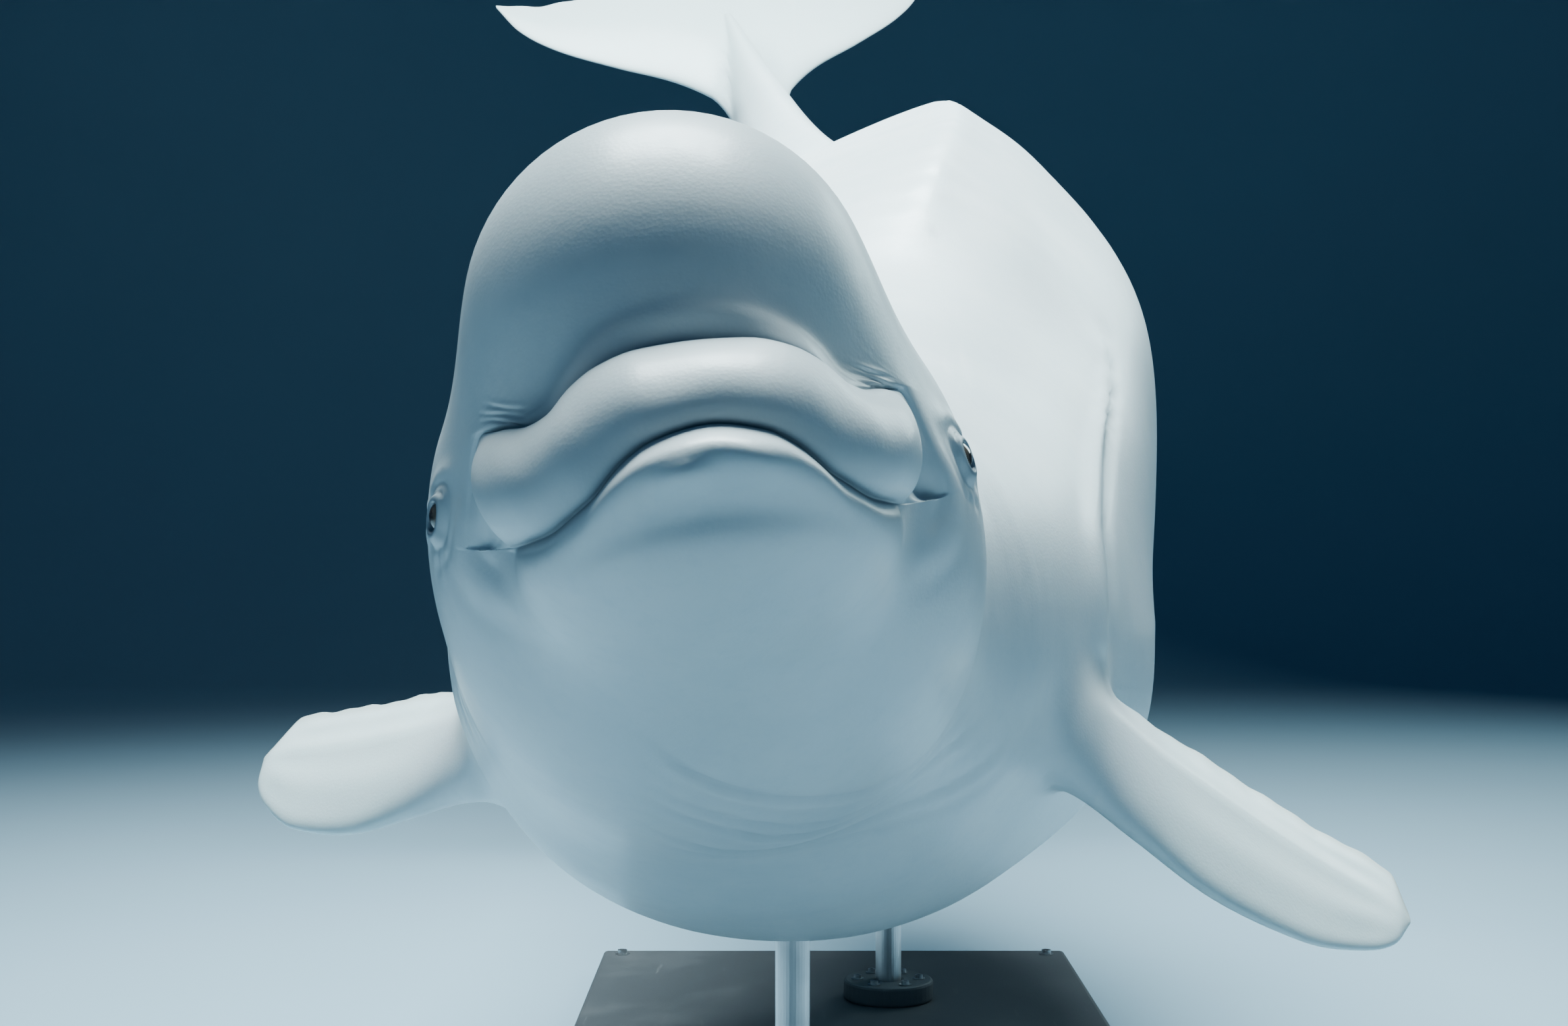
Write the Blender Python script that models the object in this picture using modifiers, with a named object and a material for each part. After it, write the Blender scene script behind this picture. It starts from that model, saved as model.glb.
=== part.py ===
"""Life-size beluga whale with the head raised and the flukes lifted, on a plain stand with two rods."""

import math

import bmesh
import bpy
import numpy as np
from mathutils import Matrix, Vector

# Sizes in metres. The straight body runs back along -x from the tip of the beak,
# y is the animal's left and z is up. Posed, the head faces -y and z is up.
GAP = 0.0003
HALF_GAP = 0.0002

# distance back, half width, height of the back, depth of the belly
STATIONS = (
    (0.30, 0.208, 0.235, 0.205),
    (0.45, 0.225, 0.235, 0.215),
    (0.60, 0.245, 0.240, 0.230),
    (0.80, 0.301, 0.279, 0.294),
    (1.05, 0.365, 0.328, 0.359),
    (1.40, 0.400, 0.369, 0.387),
    (1.75, 0.402, 0.390, 0.372),
    (2.10, 0.372, 0.370, 0.332),
    (2.50, 0.286, 0.300, 0.257),
    (2.90, 0.159, 0.204, 0.170),
    (3.20, 0.094, 0.147, 0.117),
    (3.45, 0.053, 0.093, 0.080),
    (3.62, 0.030, 0.050, 0.045),
    (3.76, 0.008, 0.012, 0.012),
)
ROOF_STATIONS = (0.3, 0.8, 1.3, 1.8, 2.4, 3.0, 3.76)
ROOF_POWERS = (2.1, 2.0, 1.95, 1.88, 1.85, 1.9, 2.0)
BELLY_POWER = 2.15
RIDGE_HEIGHT = 0.044
RIDGE_WIDTH = 0.080
RIDGE_EDGE = 0.012
KEEL_HEIGHT = 0.020
LEFT_SHOULDER = 0.018
LEFT_FLANK = 0.042
RIGHT_SHOULDER = 0.024

# centre back, side, height, then half length, half width, half height, blend
HEAD_MASSES = (
    (0.375, 0.004, 0.015, 0.260, 0.213, 0.195, 0.000),
    (0.205, -0.006, 0.104, 0.168, 0.152, 0.150, 0.055),
    (0.190, 0.000, -0.085, 0.185, 0.135, 0.080, 0.035),
    (0.470, 0.015, -0.040, 0.290, 0.219, 0.190, 0.050),
    (0.680, 0.004, 0.003, 0.340, 0.243, 0.238, 0.060),
)
HEAD_CENTRE = np.array([-0.30, 0.0, -0.01])

# distance back, half width, height
MOUTH_LINE = (
    (0.000, 0.000, -0.060),
    (0.008, 0.035, -0.064),
    (0.020, 0.055, -0.072),
    (0.045, 0.078, -0.086),
    (0.080, 0.100, -0.089),
    (0.120, 0.119, -0.082),
    (0.170, 0.137, -0.068),
    (0.222, 0.152, -0.050),
)
CREASE_LINE = (
    (0.045, 0.000, 0.017),
    (0.047, 0.035, 0.016),
    (0.055, 0.065, 0.010),
    (0.066, 0.083, 0.002),
    (0.085, 0.097, -0.006),
    (0.115, 0.110, -0.001),
    (0.150, 0.130, 0.012),
    (0.190, 0.150, 0.024),
    (0.230, 0.166, 0.031),
)
CREASE_ROW = 0.35
LIP_BULGE = 0.020
SIDE_LIP_BULGE = 0.014
CHIN_JUT = 0.014
LOWER_LIP_BULGE = 0.010
MELON_BULGE = 0.008

# Where the straight body is cut into pieces.
HEAD_END = 0.55
NECK_END = 0.78
CHEST_END = 1.45
ABDOMEN_END = 2.15
LOIN_END = 2.75
TAIL_END = 3.76

# Pose: beak tip, head attitude (turn, lift, lean) and bends of the spine
# (from, to, turn, lift, lean), angles in degrees.
BEAK_TIP = (-0.0555, 1.2840, 0.1111)
HEAD_ATTITUDE = (-2.38, 19.39, 6.89)
BENDS = (
    (0.35, 0.85, 13.44, -13.15, 7.13),
    (0.80, 1.60, -0.96, -32.21, 17.57),
    (1.60, 2.60, -19.15, 16.22, 5.00),
    (2.50, 3.50, -8.84, -35.87, -18.70),
)
SPINE_STEPS = 400
SPINE_LENGTH = 3.95

EYE_BACK = 0.283
EYE_HEIGHT = 0.002
EYE_RADIUS = 0.018
EYE_SET_IN = 0.0135
LID_LENGTH = 0.0195
LID_HEIGHT = 0.0120
LID_THICKNESS = 0.0048
BLOWHOLE_BACK = 0.430
BLOWHOLE_RADIUS = 0.026
BLOWHOLE_WIDTH = 0.0045

# root (distance back, side, height), sweep, droop and twist in degrees, and span
FLIPPER_LEFT = ((0.947, 0.287, -0.077), 21.0, 36.5, 30.0, 0.490)
FLIPPER_RIGHT = ((0.979, 0.265, -0.114), 36.0, 12.7, 42.5, 0.550)
FLIPPER_STEPS = (0.0, 0.15, 0.30, 0.50, 0.72, 0.88, 0.96, 1.0)
FLIPPER_LEAD = (0.100, 0.094, 0.108, 0.124, 0.112, 0.078, 0.046, 0.006)
FLIPPER_TRAIL = (0.100, 0.084, 0.080, 0.082, 0.076, 0.072, 0.064, 0.012)
FLIPPER_THICK = (0.070, 0.042, 0.032, 0.025, 0.018, 0.012, 0.008, 0.002)

FLUKE_SPAN = 0.495
FLUKE_CURL = -0.013
FLUKE_STEPS = (0.0, 0.06, 0.12, 0.30, 0.55, 0.80, 0.93, 1.0)
FLUKE_LEAD = (3.36, 3.398, 3.448, 3.540, 3.614, 3.700, 3.776, 3.860)
FLUKE_TRAIL = (3.80, 3.83, 3.855, 3.878, 3.862, 3.848, 3.860, 3.870)
FLUKE_THICK = (0.032, 0.028, 0.024, 0.018, 0.012, 0.007, 0.004, 0.002)

BASE_SIZE = (0.80, 1.55, 0.040)
BASE_TOP = -0.760
BASE_BEVEL = 0.008
ROD_RADIUS = 0.020
FRONT_ROD_BACK = 1.12
REAR_ROD_BACK = 2.05
COLLAR_RADIUS = 0.070
COLLAR_HEIGHT = 0.030

HEAD_COLUMNS = 64
BODY_COLUMNS = 48
JAW_ROW = 15
HEAD_ROWS = (
    0.0, 0.02, 0.055, 0.10, 0.16, 0.22, 0.28, 0.32, 0.35, 0.375,
    0.41, 0.46, 0.53, 0.61, 0.70, 0.80, 0.90, 1.0,
)

for leftover in list(bpy.data.objects):
    bpy.data.objects.remove(leftover)


def collection(name, hidden=False):
    group = bpy.data.collections.new(name)
    bpy.context.scene.collection.children.link(group)
    group.hide_render = hidden
    return group


PARTS = collection("beluga_whale")
CUTTERS = collection("cutters", hidden=True)


def material(name, color, roughness, metallic=0.0):
    made = bpy.data.materials.new(name)
    made.use_nodes = True
    shader = made.node_tree.nodes["Principled BSDF"]
    shader.inputs["Base Color"].default_value = (*color, 1.0)
    shader.inputs["Roughness"].default_value = roughness
    shader.inputs["Metallic"].default_value = metallic
    made.diffuse_color = (*color, 1.0)
    return made


def smooth(start, end, value):
    t = np.clip((value - start) / (end - start), 0, 1)
    return t * t * (3 - 2 * t)


def curve_through(xs, ys):
    """Monotone cubic through the points."""
    xs = np.array(xs, float)
    ys = np.array(ys, float)
    steps = np.diff(xs)
    slopes = np.diff(ys) / steps
    tangents = np.zeros(len(xs))
    for i in range(1, len(xs) - 1):
        if slopes[i - 1] * slopes[i] > 0:
            before = 2 * steps[i] + steps[i - 1]
            after = steps[i] + 2 * steps[i - 1]
            tangents[i] = (before + after) / (before / slopes[i - 1] + after / slopes[i])
    tangents[0] = slopes[0]
    tangents[-1] = slopes[-1]

    def at(x):
        x = np.clip(x, xs[0], xs[-1])
        i = np.clip(np.searchsorted(xs, x) - 1, 0, len(steps) - 1)
        t = (x - xs[i]) / steps[i]
        start = (1 + 2 * t) * (1 - t) ** 2 * ys[i] + t * (1 - t) ** 2 * steps[i] * tangents[i]
        end = t * t * (3 - 2 * t) * ys[i + 1] + t * t * (t - 1) * steps[i] * tangents[i + 1]
        return start + end

    return at


BACKS = [station[0] for station in STATIONS]
half_width = curve_through(BACKS, [station[1] for station in STATIONS])
back_height = curve_through(BACKS, [station[2] for station in STATIONS])
belly_depth = curve_through(BACKS, [station[3] for station in STATIONS])
roof_power = curve_through(ROOF_STATIONS, ROOF_POWERS)


def bell(value, width):
    return np.exp(-((value / width) ** 2))


def lean_over(back, angles):
    """Flesh pushed out over the left of the bent back and flank and drawn in on the right."""
    round_about = np.degrees(np.arctan2(np.sin(angles), np.cos(angles)))
    left = LEFT_SHOULDER * (bell(round_about - 42, 20) + 0.5 * bell(round_about - 72, 12))
    right = RIGHT_SHOULDER * bell(round_about - 122, 26)
    flank = LEFT_FLANK * bell(round_about + 17, 19)
    flank = flank * smooth(1.0, 1.25, back) * (1 - smooth(1.4, 1.9, back))
    return (left - right) * smooth(1.0, 1.5, back) * (1 - smooth(2.4, 2.9, back)) + flank


def section(back, angles):
    """Side and height of the trunk all round at one station, with the ridge along the back."""
    power = np.where(np.sin(angles) > 0, roof_power(back), BELLY_POWER)
    across = np.cos(angles)
    upward = np.sin(angles)
    side = half_width(back) * np.sign(across) * np.abs(across) ** (2 / power)
    tall = np.where(upward > 0, back_height(back), belly_depth(back))
    height = tall * np.sign(upward) * np.abs(upward) ** (2 / power)
    grow = 1 + lean_over(back, angles) / np.hypot(side, height)
    side = side * grow
    height = height * grow
    ridge = RIDGE_HEIGHT * smooth(1.45, 1.8, back) * (1 - smooth(2.2, 2.95, back))
    keel = KEEL_HEIGHT * smooth(2.5, 3.1, back) * (1 - smooth(3.3, 3.6, back))
    slope = np.exp((RIDGE_EDGE - np.hypot(side, RIDGE_EDGE)) / RIDGE_WIDTH)
    crest = (ridge + keel) * slope * smooth(0.0, 0.4, upward)
    return side, height + crest


def line_through(points):
    """Curve from the right end (-1) through the middle (0) to the left end (1)."""
    right = [(-back, -side, height) for back, side, height in points[:0:-1]]
    left = [(-back, side, height) for back, side, height in points]
    knots = np.array(right + left)
    lengths = np.linalg.norm(np.diff(knots, axis=0), axis=1)
    along = np.concatenate([[0], np.cumsum(lengths)])
    along = along / along[-1] * 2 - 1
    curves = [curve_through(along, knots[:, axis]) for axis in range(3)]
    return lambda u: np.stack([curve(u) for curve in curves], -1)


mouth_line = line_through(MOUTH_LINE)
crease_line = line_through(CREASE_LINE)


def head_field(points):
    """Below zero inside the blended masses of head and neck."""
    total = None
    for back, aside, height, long, wide, tall, blend in HEAD_MASSES:
        radii = np.array([long, wide, tall])
        offset = points - np.array([-back, aside, height])
        near = np.linalg.norm(offset / radii, axis=-1)
        slope = np.linalg.norm(offset / (radii * radii), axis=-1) + 1e-9
        mass = near * (near - 1) / slope
        if total is None:
            total = mass
            continue
        share = np.clip(0.5 + 0.5 * (mass - total) / blend, 0, 1)
        total = mass * (1 - share) + total * share - blend * share * (1 - share)
    return total


def reach(start, directions):
    """Distance from the start to the skin of the head along each direction."""
    low = np.full(directions.shape[:-1], 0.02)
    high = np.full(directions.shape[:-1], 0.6)
    found = np.zeros(directions.shape[:-1], bool)
    steps = np.linspace(0.6, 0.02, 50)
    for far, near in zip(steps[:-1], steps[1:]):
        new = (head_field(start + directions * near) < 0) & ~found
        low[new] = near
        high[new] = far
        found |= new
    for _ in range(22):
        middle = (low + high) / 2
        outside = head_field(start + directions * middle[..., None]) > 0
        high = np.where(outside, middle, high)
        low = np.where(outside, low, middle)
    return (low + high) / 2


def unit(vectors):
    return vectors / np.linalg.norm(vectors, axis=-1, keepdims=True)


def turn_between(first, second, share):
    angle = np.arccos(np.clip((first * second).sum(-1), -1, 1))[..., None]
    share = np.broadcast_to(share, first.shape[:-1])[..., None]
    return unit(np.sin((1 - share) * angle) * first + np.sin(share * angle) * second)


def radial(angles):
    return np.stack([0 * angles, np.cos(angles), np.sin(angles)], -1)


def head_rows(angles, rows):
    """Rings of the face, from the mouth line (0) over lips and melon to the ring at the ear (1)."""
    above = np.sin(angles) >= -1e-9
    u = np.where(above, 1 - 2 * angles / np.pi, 2 * (angles - np.pi) / np.pi - 1)
    u = np.clip(u, -1, 1)
    off_centre = np.abs(u)
    mouth = mouth_line(u) - HEAD_CENTRE
    crease = crease_line(u) - HEAD_CENTRE
    to_mouth = unit(mouth)
    to_ear = radial(angles)
    lip = smooth(1.0, 0.80, off_centre) * above
    flesh = smooth(1.0, 0.68, off_centre) * above
    plain = turn_between(to_mouth, to_ear, 0.32)
    to_crease = unit(unit(crease) * lip[:, None] + plain * (1 - lip[:, None]))
    mouth_reach = np.linalg.norm(mouth, axis=-1)
    crease_reach = np.linalg.norm(crease, axis=-1)
    mouth_skin = reach(HEAD_CENTRE, to_mouth)
    mouth_reach = mouth_skin + (mouth_reach - mouth_skin) * smooth(1.0, 0.86, off_centre)
    crease_skin = reach(HEAD_CENTRE, to_crease)
    crease_reach = crease_skin + (crease_reach - crease_skin) * smooth(0.94, 0.70, off_centre)
    bulge = LIP_BULGE + SIDE_LIP_BULGE * smooth(0.25, 0.6, off_centre)
    bulge = bulge - 0.008 * smooth(0.75, 1.0, off_centre)
    jut = CHIN_JUT * np.exp(-((u / 0.42) ** 2))
    rings = []
    for row in rows:
        if row <= CREASE_ROW:
            t = row / CREASE_ROW
            way = turn_between(to_mouth, to_crease, t)
            skin = reach(HEAD_CENTRE, way)
            swell = math.sin(math.pi * t**0.8) ** 0.7 if 0 < t < 1 else 0.0
            lips = mouth_reach * (1 - t) + crease_reach * t + bulge * swell
            pull = math.exp(-((row / 0.06) ** 2))
            chin = jut * smooth(0, 0.05, row) * (1 - smooth(0.05, 0.35, row))
            chin = chin + LOWER_LIP_BULGE * bell(row - 0.06, 0.046) * bell(u, 0.27) * ~above
            cheek = skin - (mouth_skin - mouth_reach) * pull + chin
            far = np.where(above, lips * flesh + cheek * (1 - flesh), cheek)
        else:
            past = row - CREASE_ROW
            way = turn_between(to_crease, to_ear, past / (1 - CREASE_ROW))
            pull = math.exp(-((past / 0.035) ** 1.6))
            brow = MELON_BULGE * bell(u, 0.6) * smooth(0.352, 0.385, row) * above
            brow = brow * (1 - smooth(0.385, 0.60, row))
            far = reach(HEAD_CENTRE, way) - (crease_skin - crease_reach) * pull * flesh + brow
        rings.append(HEAD_CENTRE + way * far[:, None])
    return np.array(rings)


def body_rows(backs, angles):
    """Rings of neck and trunk at the given distances back."""
    rings = []
    for back in backs:
        side, height = section(np.full(len(angles), back), angles)
        ring = np.stack([np.full(len(angles), -back), side, height], -1)
        if back < 0.80:
            middle = np.array([-back, 0.0, -0.01])
            ways = radial(angles)
            head = middle + ways * reach(middle, ways)[:, None]
            share = smooth(0.50, 0.80, back)
            ring = head * (1 - share) + ring * share
        rings.append(ring)
    return np.array(rings)


def rotation(axis, degrees):
    return np.array(Matrix.Rotation(math.radians(degrees), 3, Vector(axis)))


def build_spine():
    """Stations, places and axes (forward, left, up) along the posed spine."""
    turn, lift, lean = HEAD_ATTITUDE
    axes = np.array([[0.0, 1.0, 0.0], [-1.0, 0.0, 0.0], [0.0, 0.0, 1.0]])
    head = rotation((0, 0, 1), -turn) @ rotation((1, 0, 0), -lift) @ rotation((0, 1, 0), -lean)
    axes = head @ axes
    place = np.array(BEAK_TIP)
    backs = np.linspace(0, SPINE_LENGTH, SPINE_STEPS)
    step = backs[1]
    places = []
    frames = []
    for back in backs:
        places.append(place)
        frames.append(axes)
        place = place - axes[:, 0] * step
        for start, end, turn, lift, lean in BENDS:
            share = smooth(start, end, back + step) - smooth(start, end, back)
            if share > 0:
                about_up = rotation(axes[:, 2], -turn * share)
                about_left = rotation(axes[:, 1], -lift * share)
                about_forward = rotation(axes[:, 0], -lean * share)
                axes = about_up @ about_left @ about_forward @ axes
    return backs, np.array(places), np.array(frames)


SPINE_BACKS, SPINE_PLACES, SPINE_FRAMES = build_spine()


def spine_at(backs):
    shape = np.shape(backs)
    flat = np.ravel(backs)
    places = [np.interp(flat, SPINE_BACKS, SPINE_PLACES[:, k]) for k in range(3)]
    frames = [np.interp(flat, SPINE_BACKS, SPINE_FRAMES[:, k // 3, k % 3]) for k in range(9)]
    places = np.stack(places, -1).reshape(*shape, 3)
    frames = np.stack(frames, -1).reshape(*shape, 3, 3)
    ahead = np.minimum(backs, 0)
    return places - frames[..., :, 0] * np.expand_dims(ahead, -1), frames


def posed(points):
    """Points of the straight body, bent along the spine."""
    places, frames = spine_at(-points[..., 0])
    return places + frames[..., :, 1] * points[..., 1:2] + frames[..., :, 2] * points[..., 2:3]


def solid(name, points, faces, paint, group=PARTS):
    """Object from points and faces, with its normals outward and smooth shading."""
    mesh = bpy.data.meshes.new(name)
    mesh.from_pydata([tuple(p) for p in points], [], faces)
    work = bmesh.new()
    work.from_mesh(mesh)
    bmesh.ops.recalc_face_normals(work, faces=work.faces)
    if work.calc_volume(signed=True) < 0:
        bmesh.ops.reverse_faces(work, faces=work.faces)
    for face in work.faces:
        face.smooth = len(face.verts) <= 4
    bmesh.ops.triangulate(work, faces=work.faces)
    work.to_mesh(mesh)
    work.free()
    made = bpy.data.objects.new(name, mesh)
    group.objects.link(made)
    if paint:
        mesh.materials.append(paint)
    if group is CUTTERS:
        made.display_type = "WIRE"
        made.hide_render = True
    return made


def loft(name, rings, paint, group=PARTS):
    """Closed loft through rings of equal count, with a flat cap at each end."""
    rows, columns = rings.shape[:2]
    faces = []
    for i in range(rows - 1):
        for j in range(columns):
            k = (j + 1) % columns
            faces.append((i * columns + j, (i + 1) * columns + j, (i + 1) * columns + k, i * columns + k))
    faces.append(tuple(range(columns)))
    faces.append(tuple(range((rows - 1) * columns, rows * columns)))
    return solid(name, rings.reshape(-1, 3), faces, paint, group)


def ring_angles(columns):
    return np.arange(columns) * 2 * np.pi / columns


def across(row, first, last, columns):
    """Faces of one ring between its columns first and last, joined straight across."""
    half = (last - first) // 2
    faces = []
    for k in range(half):
        left = ((row, (first + k) % columns), (row, (first + k + 1) % columns))
        right = ((row, (last - k - 1) % columns), (row, (last - k) % columns))
        corners = []
        for corner in left + right:
            if corner not in corners:
                corners.append(corner)
        faces.append(corners)
    return faces


def cut_face(rows, keep, name, shift, paint):
    """Solid of the skin squares that keep allows, closed along the mouth and the throat."""
    count, columns = rows.shape[:2]
    half = columns // 2
    corners = []
    for i in range(count - 1):
        for j in range(columns):
            if keep(i, j):
                k = (j + 1) % columns
                corners.append([(i, j), (i + 1, j), (i + 1, k), (i, k)])
    lower_mouth = keep(0, half)
    first, last = (half, columns) if lower_mouth else (0, half)
    corners += across(0, first, last, columns)
    corners += [[(i, 0), (i + 1, 0), (i + 1, half), (i, half)] for i in range(JAW_ROW)]
    corners += across(JAW_ROW, half, columns, columns)
    if not lower_mouth:
        corners.append([(count - 1, j) for j in range(columns)])
    numbers = {}
    points = []
    faces = []
    for face in corners:
        numbered = []
        for row, column in face:
            if (row, column) not in numbers:
                numbers[(row, column)] = len(points)
                points.append(rows[row, column] + shift)
            numbered.append(numbers[(row, column)])
        faces.append(numbered)
    return solid(name, posed(np.array(points)), faces, paint)


def boolean(target, cutter, operation="DIFFERENCE"):
    change = target.modifiers.new(operation.lower() + "_" + cutter.name, "BOOLEAN")
    change.operation = operation
    change.object = cutter
    change.solver = "EXACT"
    return change


def swollen(source, name, by):
    """Cutter: the source with its skin moved out."""
    work = bmesh.new()
    work.from_mesh(source.data)
    work.normal_update()
    for vertex in work.verts:
        vertex.co += vertex.normal * by
    mesh = bpy.data.meshes.new(name)
    work.to_mesh(mesh)
    work.free()
    made = bpy.data.objects.new(name, mesh)
    CUTTERS.objects.link(made)
    made.display_type = "WIRE"
    made.hide_render = True
    return made


SKIN = material("pale_skin", (0.80, 0.85, 0.86), 0.42)
FIN_SKIN = material("fin_skin", (0.74, 0.80, 0.81), 0.45)
EYE = material("dark_eye", (0.02, 0.018, 0.016), 0.12)
STEEL = material("brushed_steel", (0.60, 0.61, 0.62), 0.32, 1.0)
BASE = material("painted_base", (0.055, 0.06, 0.065), 0.45)

# Head and lower jaw
angles = ring_angles(HEAD_COLUMNS)
face_rows = head_rows(angles, HEAD_ROWS)
ear_rows = body_rows(np.linspace(0.345, HEAD_END - HALF_GAP, 5), angles)
head_grid = np.concatenate([face_rows, ear_rows])
half_columns = HEAD_COLUMNS // 2


def on_jaw(row, column):
    return row < JAW_ROW and column >= half_columns


head = cut_face(head_grid, lambda i, j: not on_jaw(i, j), "head", np.zeros(3), SKIN)
jaw_shift = np.array([GAP, 0.0, -0.0005])
lower_jaw = cut_face(head_grid, on_jaw, "lower_jaw", jaw_shift, SKIN)


def place_on_side(side, back, height, inset):
    """Point on the side of the head, set in from the skin."""
    middle = np.array([-back, 0.0, height])
    way = np.array([[0.0, side, 0.0]])
    far = reach(middle, way)[0] - inset
    return middle + way[0] * far


def posed_matrix(point, scale=(1, 1, 1)):
    """Matrix that puts a small shape at a point of the straight body."""
    _, frame = spine_at(np.array(-point[0]))
    matrix = Matrix([list(row) for row in frame]).to_4x4()
    matrix.translation = Vector(posed(point))
    return matrix @ Matrix.Diagonal((*scale, 1))


def ball(name, matrix, radius, paint, group=PARTS, rings=12, segments=20):
    mesh = bpy.data.meshes.new(name)
    work = bmesh.new()
    bmesh.ops.create_uvsphere(work, u_segments=segments, v_segments=rings, radius=radius)
    bmesh.ops.transform(work, matrix=matrix, verts=work.verts)
    for face in work.faces:
        face.smooth = True
    work.to_mesh(mesh)
    work.free()
    made = bpy.data.objects.new(name, mesh)
    group.objects.link(made)
    if paint:
        mesh.materials.append(paint)
    if group is CUTTERS:
        made.display_type = "WIRE"
        made.hide_render = True
    return made


def ring_shape(name, matrix, radius, thickness):
    """Cutter or lid: a ring lying in the x-y plane of the matrix."""
    bpy.ops.mesh.primitive_torus_add(
        major_radius=radius, minor_radius=thickness, major_segments=24, minor_segments=8
    )
    made = bpy.context.object
    made.name = name
    made.data.name = name
    made.data.transform(matrix)
    for owner in list(made.users_collection):
        owner.objects.unlink(made)
    CUTTERS.objects.link(made)
    made.display_type = "WIRE"
    made.hide_render = True
    return made


for side, word in ((1, "left"), (-1, "right")):
    lid_point = place_on_side(side, EYE_BACK, EYE_HEIGHT, 0.0015)
    lid_matrix = posed_matrix(lid_point) @ Matrix.Rotation(math.radians(90 - 8 * side), 4, "X")
    lid_matrix = lid_matrix @ Matrix.Diagonal((LID_LENGTH, LID_HEIGHT, LID_HEIGHT, 1))
    thickness = LID_THICKNESS / LID_HEIGHT
    lid = ring_shape("lid_" + word, lid_matrix, 1.0, thickness)
    boolean(head, lid, "UNION")
    eye_point = place_on_side(side, EYE_BACK, EYE_HEIGHT, EYE_SET_IN)
    socket = ball("socket_" + word, posed_matrix(eye_point), EYE_RADIUS + GAP, None, CUTTERS)
    boolean(head, socket)
    ball("eye_" + word, posed_matrix(eye_point), EYE_RADIUS, EYE)

# Blowhole: a ring tilted so that only its rear half cuts the crown
crown = np.array([-BLOWHOLE_BACK, 0.0, -0.01])
crown_height = reach(crown, np.array([[0.0, 0.0, 1.0]]))[0]
blow_point = crown + np.array([0.002, 0.008, crown_height + 0.0035])
blow_matrix = posed_matrix(blow_point) @ Matrix.Rotation(math.radians(-14), 4, "Y")
blowhole = ring_shape("blowhole", blow_matrix, BLOWHOLE_RADIUS, BLOWHOLE_WIDTH)
boolean(head, blowhole)

# Trunk
angles = ring_angles(BODY_COLUMNS)


def trunk(name, start, end, count):
    backs = np.linspace(start + HALF_GAP, end - HALF_GAP, count)
    return loft(name, posed(body_rows(backs, angles)), SKIN)


neck = trunk("neck", HEAD_END, NECK_END, 6)
chest = trunk("chest", NECK_END, CHEST_END, 13)
abdomen = trunk("abdomen", CHEST_END, ABDOMEN_END, 12)
loin = trunk("loin", ABDOMEN_END, LOIN_END, 10)
tail_stock = trunk("tail_stock", LOIN_END, TAIL_END, 18)

# Flippers
flipper_lead = curve_through(FLIPPER_STEPS, FLIPPER_LEAD)
flipper_trail = curve_through(FLIPPER_STEPS, FLIPPER_TRAIL)
flipper_thick = curve_through(FLIPPER_STEPS, FLIPPER_THICK)


def foil(turns):
    """Share of chord and of thickness round a fin section, round in front and thin behind."""
    chord = np.cos(turns)
    thin = np.where(chord > 0, 1.0, 1 + 0.72 * chord)
    return chord, np.sin(turns) * thin


def flipper(side, root, sweep, droop, twist, span, name):
    sweep = math.radians(sweep)
    droop = math.radians(droop)
    twist = math.radians(twist)
    out = np.array([
        -math.sin(sweep),
        side * math.cos(sweep) * math.cos(droop),
        -math.cos(sweep) * math.sin(droop),
    ])
    ahead = np.array([1.0, 0.0, 0.0])
    lead = unit(ahead - out * (ahead @ out))
    top = np.cross(lead, out) * side
    lead, top = lead * math.cos(twist) - top * math.sin(twist), top * math.cos(twist) + lead * math.sin(twist)
    turns = ring_angles(24)
    chord, thin = foil(turns)
    rings = []
    for k in (0.0, 0.08, 0.16, 0.25, 0.34, 0.43, 0.52, 0.61, 0.70, 0.78, 0.85, 0.90, 0.94, 0.97, 0.99, 1.0):
        width = np.where(chord > 0, flipper_lead(k), flipper_trail(k)) * chord
        height = flipper_thick(k) * thin
        curl = 0.035 * k**3
        ring = out * (k * span) + top * curl
        rings.append(ring + lead * width[:, None] + top * height[:, None])
    back, aside, up = root
    place, frame = spine_at(np.array(back))
    rings = np.array(rings) + np.array([0.0, side * aside, up])
    return loft(name, place + rings @ frame.T, FIN_SKIN)


flipper_left = flipper(1, *FLIPPER_LEFT, "flipper_left")
flipper_right = flipper(-1, *FLIPPER_RIGHT, "flipper_right")
chest_cutter = swollen(chest, "chest_cutter", GAP * 1.5)
boolean(flipper_left, chest_cutter)
boolean(flipper_right, chest_cutter)

# Flukes
fluke_lead = curve_through(FLUKE_STEPS, FLUKE_LEAD)
fluke_trail = curve_through(FLUKE_STEPS, FLUKE_TRAIL)
fluke_thick = curve_through(FLUKE_STEPS, FLUKE_THICK)
tail_cutter = swollen(tail_stock, "tail_cutter", GAP * 1.5)


def fluke(side, name):
    turns = ring_angles(20)
    chord, thin = foil(turns)
    rings = []
    for k in (0.0, 0.05, 0.10, 0.17, 0.25, 0.34, 0.44, 0.54, 0.64, 0.73, 0.81, 0.88, 0.93, 0.97, 1.0):
        front = -fluke_lead(k)
        rear = -fluke_trail(k)
        along = (front + rear) / 2 + (front - rear) / 2 * chord
        aside = np.full(len(turns), side * (HALF_GAP + k * FLUKE_SPAN))
        rings.append(np.stack([along, aside, fluke_thick(k) * thin + FLUKE_CURL * k * k], -1))
    made = loft(name, posed(np.array(rings)), FIN_SKIN)
    boolean(made, tail_cutter)
    return made


fluke_left = fluke(1, "fluke_left")
fluke_right = fluke(-1, "fluke_right")

# Stand
abdomen_cutter = swollen(abdomen, "abdomen_cutter", GAP * 1.5)


def spine_place(back):
    place, _ = spine_at(np.array(back))
    return place


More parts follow.
